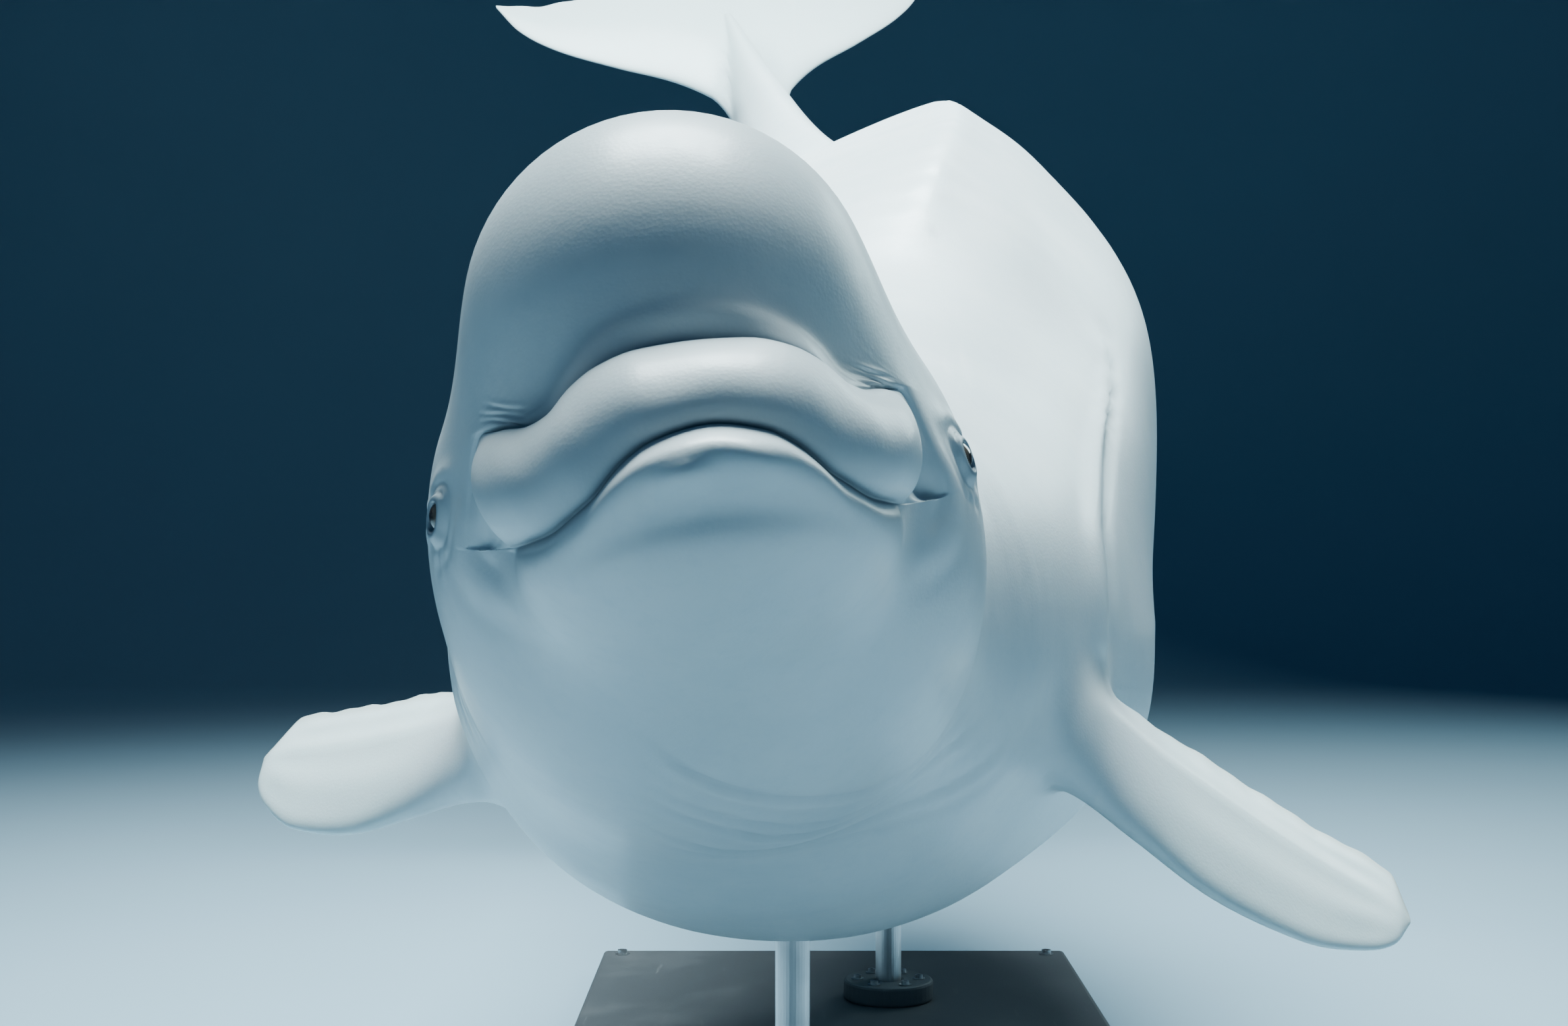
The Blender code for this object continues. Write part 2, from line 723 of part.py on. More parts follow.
def post(name, x, y, bottom, top, radius, paint, segments=32):
    mesh = bpy.data.meshes.new(name)
    work = bmesh.new()
    bmesh.ops.create_cone(
        work, cap_ends=True, segments=segments, radius1=radius, radius2=radius, depth=top - bottom
    )
    bmesh.ops.translate(work, verts=work.verts, vec=(x, y, (top + bottom) / 2))
    for face in work.faces:
        face.smooth = len(face.verts) == 4
    work.to_mesh(mesh)
    work.free()
    made = bpy.data.objects.new(name, mesh)
    PARTS.objects.link(made)
    mesh.materials.append(paint)
    return made


front_place = spine_place(FRONT_ROD_BACK)
rear_place = spine_place(REAR_ROD_BACK)
base_middle = (front_place + rear_place) / 2
base_mesh = bpy.data.meshes.new("stand_base")
work = bmesh.new()
bmesh.ops.create_cube(work, size=1.0)
bmesh.ops.scale(work, verts=work.verts, vec=BASE_SIZE)
bmesh.ops.translate(work, verts=work.verts, vec=(base_middle[0], base_middle[1], BASE_TOP - BASE_SIZE[2] / 2))
work.to_mesh(base_mesh)
work.free()
stand_base = bpy.data.objects.new("stand_base", base_mesh)
PARTS.objects.link(stand_base)
base_mesh.materials.append(BASE)
bevel = stand_base.modifiers.new("edge", "BEVEL")
bevel.width = BASE_BEVEL
bevel.segments = 3

for place, word, cutter in ((front_place, "front", chest_cutter), (rear_place, "rear", abdomen_cutter)):
    x, y, z = place
    floor = BASE_TOP + GAP
    rod = post("stand_rod_" + word, x, y, floor, z - 0.10, ROD_RADIUS, STEEL)
    boolean(rod, cutter)
    collar = post("stand_collar_" + word, x, y, floor, floor + COLLAR_HEIGHT, COLLAR_RADIUS, BASE, 40)
    hole = post("collar_hole_" + word, x, y, floor - 0.02, floor + 0.2, ROD_RADIUS + GAP, BASE)
    PARTS.objects.unlink(hole)
    CUTTERS.objects.link(hole)
    hole.display_type = "WIRE"
    hole.hide_render = True
    boolean(collar, hole)
    edge = collar.modifiers.new("edge", "BEVEL")
    edge.width = 0.004
    edge.segments = 2
    edge.limit_method = "ANGLE"
    edge.angle_limit = math.radians(50)

# The origin is the middle of the footprint, at the floor.
bpy.context.view_layer.update()
graph = bpy.context.evaluated_depsgraph_get()
corners = []
for made in PARTS.objects:
    shape = made.evaluated_get(graph).to_mesh()
    corners += [vertex.co.copy() for vertex in shape.vertices]
lowest = Vector([min(corner[k] for corner in corners) for k in range(3)])
highest = Vector([max(corner[k] for corner in corners) for k in range(3)])
offset = Vector(((lowest.x + highest.x) / 2, (lowest.y + highest.y) / 2, lowest.z))
for made in list(PARTS.objects) + list(CUTTERS.objects):
    made.data.transform(Matrix.Translation(-offset))
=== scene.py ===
"""Life-size beluga whale on a plain display stand: one skin, two eyes, fittings, light and camera."""

import logging
import math
from dataclasses import dataclass
from enum import Enum
from typing import Callable

import bmesh
import bpy
import numpy as np
from mathutils import Matrix, Vector
from mathutils.kdtree import KDTree


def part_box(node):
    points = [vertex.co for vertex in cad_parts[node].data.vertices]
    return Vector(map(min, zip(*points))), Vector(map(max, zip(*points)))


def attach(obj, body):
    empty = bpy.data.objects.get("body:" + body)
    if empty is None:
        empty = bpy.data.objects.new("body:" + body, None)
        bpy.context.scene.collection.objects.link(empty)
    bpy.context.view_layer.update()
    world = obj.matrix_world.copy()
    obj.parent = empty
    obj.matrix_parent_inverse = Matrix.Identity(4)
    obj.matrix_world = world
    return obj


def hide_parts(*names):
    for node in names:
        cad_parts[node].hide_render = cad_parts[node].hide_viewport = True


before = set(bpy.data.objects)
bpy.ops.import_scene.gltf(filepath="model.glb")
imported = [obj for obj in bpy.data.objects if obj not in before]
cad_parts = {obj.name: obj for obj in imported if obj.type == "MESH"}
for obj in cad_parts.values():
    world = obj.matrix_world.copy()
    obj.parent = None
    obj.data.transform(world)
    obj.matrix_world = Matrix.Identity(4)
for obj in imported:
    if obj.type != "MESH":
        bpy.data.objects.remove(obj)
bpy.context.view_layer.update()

logging.basicConfig(level=logging.INFO, format="%(message)s")
LOG = logging.getLogger("beluga")

Array = np.ndarray
Triple = tuple[float, float, float]
Colour = Triple
Form = tuple[Array, Array]

FLESH = (
    "head",
    "lower_jaw",
    "neck",
    "chest",
    "abdomen",
    "loin",
    "tail_stock",
    "flipper_left",
    "flipper_right",
    "fluke_left",
    "fluke_right",
)


class Side(Enum):
    """The animal's two sides, as the sign of its sideways axis."""

    LEFT = 1
    RIGHT = -1


# Curves and fades


def smooth(start: float, end: float, value: Array | float) -> Array:
    """Smooth step from 0 at start to 1 at end.

    Args:
        start: Where the step begins.
        end: Where it is complete.
        value: Place or places along it.

    Returns:
        The share reached at each place.
    """
    t = np.clip((value - start) / (end - start), 0, 1)
    return t * t * (3 - 2 * t)


def hill(value: Array | float, width: float) -> Array:
    """Bell curve, 1 at zero, that falls to a third at one width."""
    return np.exp(-((value / width) ** 2))


def curve_through(xs: list[float] | Array, ys: list[float] | Array) -> Callable[[Array | float], Array]:
    """Monotone cubic through the points.

    Args:
        xs: Rising places.
        ys: Value at each place.

    Returns:
        A function of the place.
    """
    xs = np.array(xs, float)
    ys = np.array(ys, float)
    steps = np.diff(xs)
    slopes = np.diff(ys) / steps
    tangents = np.zeros(len(xs))
    for i in range(1, len(xs) - 1):
        if slopes[i - 1] * slopes[i] > 0:
            before = 2 * steps[i] + steps[i - 1]
            after = steps[i] + 2 * steps[i - 1]
            tangents[i] = (before + after) / (before / slopes[i - 1] + after / slopes[i])
    tangents[0] = slopes[0]
    tangents[-1] = slopes[-1]

    def at(x: Array | float) -> Array:
        """Value of the curve at x."""
        x = np.clip(x, xs[0], xs[-1])
        i = np.clip(np.searchsorted(xs, x) - 1, 0, len(steps) - 1)
        t = (x - xs[i]) / steps[i]
        start = (1 + 2 * t) * (1 - t) ** 2 * ys[i] + t * (1 - t) ** 2 * steps[i] * tangents[i]
        end = t * t * (3 - 2 * t) * ys[i + 1] + t * t * (t - 1) * steps[i] * tangents[i + 1]
        return start + end

    return at


def unit(vectors: Array) -> Array:
    """The vectors at length one."""
    return vectors / np.linalg.norm(vectors, axis=-1, keepdims=True)


def turn_between(first: Array, second: Array, share: Array | float) -> Array:
    """Directions part of the way round from the first to the second.

    Args:
        first: Unit vectors at share 0.
        second: Unit vectors at share 1.
        share: How far round.

    Returns:
        Unit vectors.
    """
    angle = np.arccos(np.clip((first * second).sum(-1), -1, 1))[..., None]
    share = np.broadcast_to(share, first.shape[:-1])[..., None]
    return unit(np.sin((1 - share) * angle) * first + np.sin(share * angle) * second)


def radial(angles: Array) -> Array:
    """Unit vectors round the body, from its left side over the back."""
    return np.stack([0 * angles, np.cos(angles), np.sin(angles)], -1)


def rotation(axis: Array, degrees: float) -> Array:
    """Turn about an axis as a 3 by 3 array."""
    return np.array(Matrix.Rotation(math.radians(degrees), 3, Vector(axis)))


def ring_angles(columns: int) -> Array:
    """Even angles once round."""
    return np.arange(columns) * 2 * np.pi / columns


# The straight animal


@dataclass
class Trunk:
    """Neck to tail stock of the straight body, which runs back along -x from the tip of the beak.

    stations: Distance back, half width, height of the back and depth of the belly.
    """

    stations: tuple[tuple[float, float, float, float], ...] = (
        (0.30, 0.208, 0.235, 0.205),
        (0.45, 0.225, 0.235, 0.215),
        (0.60, 0.245, 0.240, 0.230),
        (0.80, 0.301, 0.279, 0.294),
        (1.05, 0.365, 0.328, 0.359),
        (1.40, 0.400, 0.369, 0.387),
        (1.75, 0.402, 0.390, 0.372),
        (2.10, 0.372, 0.370, 0.332),
        (2.50, 0.286, 0.300, 0.257),
        (2.90, 0.159, 0.204, 0.170),
        (3.20, 0.094, 0.147, 0.117),
        (3.45, 0.053, 0.093, 0.080),
        (3.62, 0.030, 0.050, 0.045),
        (3.76, 0.008, 0.012, 0.012),
    )
    roof_stations: tuple[float, ...] = (0.3, 0.8, 1.3, 1.8, 2.4, 3.0, 3.76)
    roof_powers: tuple[float, ...] = (2.1, 2.0, 1.95, 1.88, 1.85, 1.9, 2.0)
    belly_power: float = 2.15
    ridge_height: float = 0.044
    ridge_width: float = 0.080
    ridge_edge: float = 0.012
    keel_height: float = 0.020
    left_shoulder: float = 0.018
    left_flank: float = 0.042
    right_shoulder: float = 0.024

    def __post_init__(self) -> None:
        """Fits the curves through the stations."""
        backs = [station[0] for station in self.stations]
        self.half_width = curve_through(backs, [station[1] for station in self.stations])
        self.back_height = curve_through(backs, [station[2] for station in self.stations])
        self.belly_depth = curve_through(backs, [station[3] for station in self.stations])
        self.roof_power = curve_through(self.roof_stations, self.roof_powers)

    def lean_over(self, back: float, angles: Array) -> Array:
        """Flesh pushed out over the left of the bent back and flank and drawn in on the right."""
        round_about = np.degrees(np.arctan2(np.sin(angles), np.cos(angles)))
        left = self.left_shoulder * (hill(round_about - 42, 20) + 0.5 * hill(round_about - 72, 12))
        right = self.right_shoulder * hill(round_about - 122, 26)
        flank = self.left_flank * hill(round_about + 17, 19)
        flank = flank * smooth(1.0, 1.25, back) * (1 - smooth(1.4, 1.9, back))
        return (left - right) * smooth(1.0, 1.5, back) * (1 - smooth(2.4, 2.9, back)) + flank

    def section(self, back: float, angles: Array) -> tuple[Array, Array]:
        """Side and height of the skin all round at one station, with the ridge along the back.

        Args:
            back: Distance back from the beak.
            angles: Angles round the body.

        Returns:
            Sideways and upward coordinates.
        """
        power = np.where(np.sin(angles) > 0, self.roof_power(back), self.belly_power)
        across = np.cos(angles)
        upward = np.sin(angles)
        side = self.half_width(back) * np.sign(across) * np.abs(across) ** (2 / power)
        tall = np.where(upward > 0, self.back_height(back), self.belly_depth(back))
        height = tall * np.sign(upward) * np.abs(upward) ** (2 / power)
        grow = 1 + self.lean_over(back, angles) / np.hypot(side, height)
        side = side * grow
        height = height * grow
        ridge = self.ridge_height * smooth(1.45, 1.8, back) * (1 - smooth(2.2, 2.95, back))
        ridge = ridge * (1 + 0.05 * math.sin(back * 95) + 0.04 * math.sin(back * 211))
        keel = self.keel_height * smooth(2.5, 3.1, back) * (1 - smooth(3.3, 3.6, back))
        slope = np.exp((self.ridge_edge - np.hypot(side, self.ridge_edge)) / self.ridge_width)
        crest = (ridge + keel) * slope * smooth(0.0, 0.4, upward)
        return side, height + crest


@dataclass
class Face:
    """Melon, lips, cheeks and throat, in rings that run from the line of the mouth to the ear.

    masses: Centre back, side and height, half length, width and height, and blend.
    mouth: Distance back, half width and height along the line of the mouth.
    crease: The same along the fold between upper lip and melon.
    """

    masses: tuple[tuple[float, ...], ...] = (
        (0.375, 0.004, 0.015, 0.260, 0.213, 0.195, 0.000),
        (0.205, -0.006, 0.104, 0.168, 0.152, 0.150, 0.055),
        (0.190, 0.000, -0.085, 0.185, 0.135, 0.080, 0.035),
        (0.470, 0.015, -0.040, 0.290, 0.219, 0.190, 0.050),
        (0.680, 0.004, 0.003, 0.340, 0.243, 0.238, 0.060),
    )
    centre: Triple = (-0.30, 0.0, -0.01)
    mouth: tuple[Triple, ...] = (
        (0.000, 0.000, -0.060),
        (0.008, 0.035, -0.064),
        (0.020, 0.055, -0.072),
        (0.045, 0.078, -0.086),
        (0.080, 0.100, -0.089),
        (0.120, 0.119, -0.082),
        (0.170, 0.137, -0.068),
        (0.222, 0.152, -0.050),
    )
    crease: tuple[Triple, ...] = (
        (0.045, 0.000, 0.017),
        (0.047, 0.035, 0.016),
        (0.055, 0.065, 0.010),
        (0.066, 0.083, 0.002),
        (0.085, 0.097, -0.006),
        (0.115, 0.110, -0.001),
        (0.150, 0.130, 0.012),
        (0.190, 0.150, 0.024),
        (0.230, 0.166, 0.031),
    )
    crease_row: float = 0.35
    lip_bulge: float = 0.020
    side_lip_bulge: float = 0.014
    chin_jut: float = 0.014
    melon_bulge: float = 0.008
    lower_lip_bulge: float = 0.0115
    crease_spacing: float = 0.017

    def __post_init__(self) -> None:
        """Fits the two lines of the face."""
        self.middle = np.array(self.centre)
        self.mouth_line = self.line_through(self.mouth)
        self.crease_line = self.line_through(self.crease)

    @staticmethod
    def line_through(points: tuple[Triple, ...]) -> Callable[[Array], Array]:
        """Curve from the right end (-1) through the middle (0) to the left end (1).

        Args:
            points: Distance back, half width and height from the middle outwards.

        Returns:
            A function of the place from -1 to 1.
        """
        right = [(-back, -side, height) for back, side, height in points[:0:-1]]
        left = [(-back, side, height) for back, side, height in points]
        knots = np.array(right + left)
        lengths = np.linalg.norm(np.diff(knots, axis=0), axis=1)
        along = np.concatenate([[0], np.cumsum(lengths)])
        along = along / along[-1] * 2 - 1
        curves = [curve_through(along, knots[:, axis]) for axis in range(3)]
        return lambda u: np.stack([curve(u) for curve in curves], -1)

    def field(self, points: Array) -> Array:
        """Below zero inside the blended masses of head and neck."""
        total = None
        for back, aside, height, long, wide, tall, blend in self.masses:
            radii = np.array([long, wide, tall])
            offset = points - np.array([-back, aside, height])
            near = np.linalg.norm(offset / radii, axis=-1)
            slope = np.linalg.norm(offset / (radii * radii), axis=-1) + 1e-9
            mass = near * (near - 1) / slope
            if total is None:
                total = mass
                continue
            share = np.clip(0.5 + 0.5 * (mass - total) / blend, 0, 1)
            total = mass * (1 - share) + total * share - blend * share * (1 - share)
        return total

    def reach(self, start: Array, directions: Array) -> Array:
        """Distance from the start to the skin of the head along each direction.

        Args:
            start: A point inside the head.
            directions: Unit vectors.

        Returns:
            One distance for each direction.
        """
        low = np.full(directions.shape[:-1], 0.02)
        high = np.full(directions.shape[:-1], 0.6)
        found = np.zeros(directions.shape[:-1], bool)
        steps = np.linspace(0.6, 0.02, 50)
        for far, near in zip(steps[:-1], steps[1:]):
            new = (self.field(start + directions * near) < 0) & ~found
            low[new] = near
            high[new] = far
            found |= new
        for _ in range(22):
            middle = (low + high) / 2
            outside = self.field(start + directions * middle[..., None]) > 0
            high = np.where(outside, middle, high)
            low = np.where(outside, low, middle)
        return (low + high) / 2

    def places(self, angles: Array) -> tuple[Array, Array]:
        """Which columns are above the mouth, and their place along its line.

        Args:
            angles: Angles round the body.

        Returns:
            A mask of the upper half, and places from -1 (right) to 1 (left).
        """
        above = np.sin(angles) >= -1e-9
        u = np.where(above, 1 - 2 * angles / np.pi, 2 * (angles - np.pi) / np.pi - 1)
        return above, np.clip(u, -1, 1)

    def rings(self, angles: Array, rows: Array) -> Array:
        """Rings of the face, from the line of the mouth (0) over lips and melon to the ear (1).

        Args:
            angles: Angles round the body.
            rows: Row numbers from 0 to 1.

        Returns:
            Points, one ring for each row.
        """
        above, u = self.places(angles)
        off_centre = np.abs(u)
        mouth = self.mouth_line(u) - self.middle
        crease = self.crease_line(u) - self.middle
        to_mouth = unit(mouth)
        to_ear = radial(angles)
        lip = smooth(1.0, 0.80, off_centre) * above
        flesh = smooth(1.0, 0.68, off_centre) * above
        plain = turn_between(to_mouth, to_ear, 0.32)
        to_crease = unit(unit(crease) * lip[:, None] + plain * (1 - lip[:, None]))
        mouth_reach = np.linalg.norm(mouth, axis=-1)
        crease_reach = np.linalg.norm(crease, axis=-1)
        mouth_skin = self.reach(self.middle, to_mouth)
        mouth_reach = mouth_skin + (mouth_reach - mouth_skin) * smooth(0.93, 0.72, off_centre)
        crease_skin = self.reach(self.middle, to_crease)
        kept = smooth(0.88, 0.64, off_centre)
        corner = smooth(0.68, 0.92, off_centre)
        crease_reach = crease_skin + (crease_reach - crease_skin) * kept
        bulge = self.lip_bulge + self.side_lip_bulge * smooth(0.25, 0.6, off_centre)
        bulge = bulge - 0.008 * smooth(0.75, 1.0, off_centre)
        jut = self.chin_jut * hill(u, 0.42)
        found = []
        for row in rows:
            if row <= self.crease_row:
                t = row / self.crease_row
                way = turn_between(to_mouth, to_crease, t)
                skin = self.reach(self.middle, way)
                full = math.sin(math.pi * t**0.8) ** 0.7 if 0 < t < 1 else 0.0
                soft = math.sin(math.pi * t) ** 1.5 if 0 < t < 1 else 0.0
                swell = full * (1 - corner) + soft * corner
                lips = mouth_reach * (1 - t) + crease_reach * t + bulge * swell
                pull = math.exp(-((row / 0.06) ** 2))
                chin = jut * smooth(0, 0.05, row) * (1 - smooth(0.05, 0.35, row))
                cheek = skin - (mouth_skin - mouth_reach) * pull + chin
                far = np.where(above, lips * flesh + cheek * (1 - flesh), cheek)
            else:
                past = row - self.crease_row
                way = turn_between(to_crease, to_ear, past / (1 - self.crease_row))
                pull = math.exp(-((past / 0.035) ** 1.6))
                far = self.reach(self.middle, way) - (crease_skin - crease_reach) * pull * flesh
            far = far + self.relief(row, u, above)
            found.append(self.middle + way * far[:, None])
        return np.array(found)

    def relief(self, row: float, u: Array, above: Array) -> Array:
        """Small forms of the lips and the lower melon, as a distance outwards.

        Args:
            row: Row number from 0 to 1.
            u: Places along the mouth.
            above: Mask of the upper half.

        Returns:
            One distance for each column.
        """
        brow = hill(u, 0.5) * smooth(0.37, 0.40, row) * (1 - smooth(0.47, 0.52, row))
        creases = 0.5 - 0.5 * np.cos(2 * np.pi * (row + 0.012 * u * u) / self.crease_spacing)
        overhang = smooth(0.352, 0.385, row) * (1 - smooth(0.385, 0.60, row))
        melon = self.melon_bulge * hill(u, 0.6) * overhang - 0.0003 * brow * creases
        uneven = 0.0016 * np.sin(9 * u + 2.0) * np.sin(23 * u) * hill(row - 0.17, 0.09)
        thinner = 0.0085 + 0.0035 * np.sign(u)
        ends = thinner * smooth(0.52, 0.86, np.abs(u)) * hill(row - 0.18, 0.12)
        lip = (uneven - ends) * smooth(0.0, 0.07, row)
        lower = self.lower_lip_bulge * hill(row - 0.060, 0.046) * hill(u, 0.27)
        knob = 0.0095 * hill(row - 0.082, 0.018) * hill(u + 0.050, 0.040)
        knob = knob + 0.0050 * hill(row - 0.072, 0.022) * hill(u - 0.075, 0.050)
        hollow = 0.0110 * hill(row - 0.136, 0.034) * hill(u + 0.02, 0.17)
        return np.where(above, melon + lip, lower + knob - hollow)


@dataclass
class Spine:
    """The posed spine, which carries the straight body's points into the pose.

    bends: From, to, turn, lift and lean of each bend, angles in degrees.
    """

    beak_tip: Triple = (-0.0555, 1.2840, 0.1111)
    attitude: Triple = (-2.38, 19.39, 6.89)
    bends: tuple[tuple[float, float, float, float, float], ...] = (
        (0.35, 0.85, 13.44, -13.15, 7.13),
        (0.80, 1.60, -0.96, -32.21, 17.57),
        (1.60, 2.60, -19.15, 16.22, 5.00),
        (2.50, 3.50, -8.84, -35.87, -18.70),
    )
    steps: int = 400
    length: float = 3.95
    base_top: float = -0.760
    rods: tuple[float, float] = (1.12, 2.05)

    def __post_init__(self) -> None:
        """Walks back along the spine, then moves it to where the stand's base is."""
        turn, lift, lean = self.attitude
        axes = np.array([[0.0, 1.0, 0.0], [-1.0, 0.0, 0.0], [0.0, 0.0, 1.0]])
        head = rotation((0, 0, 1), -turn) @ rotation((1, 0, 0), -lift) @ rotation((0, 1, 0), -lean)
        axes = head @ axes
        place = np.array(self.beak_tip)
        self.backs = np.linspace(0, self.length, self.steps)
        step = self.backs[1]
        places = []
        frames = []
        for back in self.backs:
            places.append(place)
            frames.append(axes)
            place = place - axes[:, 0] * step
            for start, end, turn, lift, lean in self.bends:
                share = smooth(start, end, back + step) - smooth(start, end, back)
                if share > 0:
                    about_up = rotation(axes[:, 2], -turn * share)
                    about_left = rotation(axes[:, 1], -lift * share)
                    about_forward = rotation(axes[:, 0], -lean * share)
                    axes = about_up @ about_left @ about_forward @ axes
        self.places = np.array(places)
        self.frames = np.array(frames)
        front, _ = self.at(np.array(self.rods[0]))
        rear, _ = self.at(np.array(self.rods[1]))
        lowest, highest = (np.array(corner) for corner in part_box("stand_base"))
        middle = (front + rear) / 2
        self.shift = np.array([*(lowest + highest)[:2] / 2 - middle[:2], highest[2] - self.base_top])
        self.places = self.places + self.shift

    def at(self, backs: Array) -> tuple[Array, Array]:
        """Place and axes (forward, left, up) of the spine.

        Args:
            backs: Distances back from the beak.

        Returns:
            Points, and 3 by 3 axes in columns.
        """
        shape = np.shape(backs)
        flat = np.ravel(backs)
        places = [np.interp(flat, self.backs, self.places[:, k]) for k in range(3)]
        frames = [np.interp(flat, self.backs, self.frames[:, k // 3, k % 3]) for k in range(9)]
        places = np.stack(places, -1).reshape(*shape, 3)
        frames = np.stack(frames, -1).reshape(*shape, 3, 3)
        ahead = np.minimum(backs, 0)
        return places - frames[..., :, 0] * np.expand_dims(ahead, -1), frames

    def posed(self, points: Array) -> Array:
        """Points of the straight body, bent along the spine."""
        places, frames = self.at(-points[..., 0])
        return places + frames[..., :, 1] * points[..., 1:2] + frames[..., :, 2] * points[..., 2:3]

    def straightened(self, points: Array) -> Array:
        """Coordinates on the straight body of points in the pose.

        Args:
            points: Points in the pose.

        Returns:
            The same points before the spine was bent.
        """
        found = []
        for some in np.array_split(points, max(1, len(points) // 4000)):
            offset = some[:, None, :] - self.places[None]
            nearest = np.argmin((offset**2).sum(-1), axis=1)
            backs = self.backs[nearest]
            for _ in range(4):
                places, frames = self.at(backs)
                backs = backs - ((some - places) * frames[..., :, 0]).sum(-1)
                backs = np.clip(backs, -0.1, self.length)
            places, frames = self.at(backs)
            local = np.einsum("ni,nij->nj", some - places, frames)
            found.append(np.stack([-backs, local[:, 1], local[:, 2]], -1))
        return np.concatenate(found)


# Fins


def foil(turns: Array) -> tuple[Array, Array]:
    """Share of chord and of thickness round a fin section, round in front and thin behind."""
    chord = np.cos(turns)
    thin = np.where(chord > 0, 1.0, 1 + 0.72 * chord)
    return chord, np.sin(turns) * thin


@dataclass
class Flipper:
    """One broad paddle, set on the chest.

    set_at: Sweep, droop and twist in degrees.
    steps: Shares of the span where lead, trail and thick are given.
    """

    side: Side
    set_at: Triple
    root: Triple
    span: float
    steps: tuple[float, ...] = (0.0, 0.15, 0.30, 0.50, 0.72, 0.88, 0.96, 1.0)
    lead: tuple[float, ...] = (0.100, 0.094, 0.108, 0.124, 0.112, 0.078, 0.046, 0.006)
    trail: tuple[float, ...] = (0.100, 0.084, 0.080, 0.082, 0.076, 0.072, 0.064, 0.012)
    thick: tuple[float, ...] = (0.070, 0.042, 0.032, 0.025, 0.018, 0.012, 0.008, 0.002)
    rings: int = 64
    columns: int = 56

    def axes(self) -> tuple[Array, Array, Array]:
        """Directions out along the fin, to its leading edge and to its upper face."""
        sweep, droop, twist = (math.radians(angle) for angle in self.set_at)
        sign = self.side.value
        out = np.array([
            -math.sin(sweep),
            sign * math.cos(sweep) * math.cos(droop),
            -math.cos(sweep) * math.sin(droop),
        ])
        ahead = np.array([1.0, 0.0, 0.0])
        lead = unit(ahead - out * (ahead @ out))
        top = np.cross(lead, out) * sign
        turned = lead * math.cos(twist) - top * math.sin(twist)
        return out, turned, top * math.cos(twist) + lead * math.sin(twist)

    def build(self, spine: Spine) -> Array:
        """Rings of the paddle in the pose.

        Args:
            spine: The posed spine.

        Returns:
            Points, one ring for each step of the span.
        """
        out, lead, top = self.axes()
        lead_at = curve_through(self.steps, self.lead)
        trail_at = curve_through(self.steps, self.trail)
        thick_at = curve_through(self.steps, self.thick)
        chord, thin = foil(ring_angles(self.columns))
        rings = []
        for share in np.sin(np.linspace(0, np.pi / 2, self.rings)):
            wave = 0.0017 * math.sin(share * 29 + self.side.value) + 0.0011 * math.sin(share * 71 + 1.1)
            wave = wave * smooth(0.1, 0.3, share) * (1 - smooth(0.9, 1.0, share))
            trail = trail_at(share) + wave
            width = np.where(chord > 0, lead_at(share), trail) * chord
            bones = 0.0010 * np.cos(chord * 11 + 1.2 * share) * smooth(0.25, 0.5, share)
            bones = bones * (1 - smooth(0.85, 0.97, share)) * np.sqrt(np.clip(1 - chord**2, 0, 1))
            height = thick_at(share) * thin + bones * np.sign(thin)
            ring = out * (share * self.span) + top * (0.035 * share**3)
            rings.append(ring + lead * width[:, None] + top * height[:, None])
        back, aside, up = self.root
        place, axes = spine.at(np.array(back))
        rings = np.array(rings) + np.array([0.0, self.side.value * aside, up])
        return place + rings @ axes.T

    def local(self, spine: Spine, points: Array) -> Array:
        """Coordinates of points along the span, the chord and the thickness.

        Args:
            spine: The posed spine.
            points: Points in the pose.

        Returns:
            Span, chord and thickness in metres.
        """
        back, aside, up = self.root
        place, axes = spine.at(np.array(back))
        straight = (points - place) @ axes - np.array([0.0, self.side.value * aside, up])
        return straight @ np.stack(self.axes(), -1)


@dataclass
class Flukes:
    """Both tail flukes as one form with a notch behind."""

    half_span: float = 0.495
    curl: float = -0.013
    steps: tuple[float, ...] = (0.0, 0.06, 0.12, 0.30, 0.55, 0.80, 0.93, 1.0)
    lead: tuple[float, ...] = (3.36, 3.398, 3.448, 3.540, 3.614, 3.700, 3.776, 3.860)
    trail: tuple[float, ...] = (3.80, 3.83, 3.855, 3.878, 3.862, 3.848, 3.860, 3.870)
    thick: tuple[float, ...] = (0.032, 0.028, 0.024, 0.018, 0.012, 0.007, 0.004, 0.002)
    rings: int = 91
    columns: int = 44

    def build(self, spine: Spine) -> Array:
        """Rings from the right tip to the left tip, in the pose.

        Args:
            spine: The posed spine.

        Returns:
            Points, one ring for each step across.
        """
        lead_at = curve_through(self.steps, self.lead)
        trail_at = curve_through(self.steps, self.trail)
        thick_at = curve_through(self.steps, self.thick)
        chord, thin = foil(ring_angles(self.columns))
        rings = []
        for turn in np.linspace(-np.pi / 2, np.pi / 2, self.rings):
            aside = math.sin(turn)
            share = abs(aside)
            wave = 0.0025 * math.sin(share * 37) * smooth(0.15, 0.3, share) * (1 - smooth(0.85, 1, share))
            front = -lead_at(share)
            rear = -trail_at(share) - wave
            along = (front + rear) / 2 + (front - rear) / 2 * chord
            across = np.full(len(chord), aside * self.half_span)
            rings.append(np.stack([along, across, thick_at(share) * thin + self.curl * share**2], -1))
        return spine.posed(np.array(rings))


# Shader maths


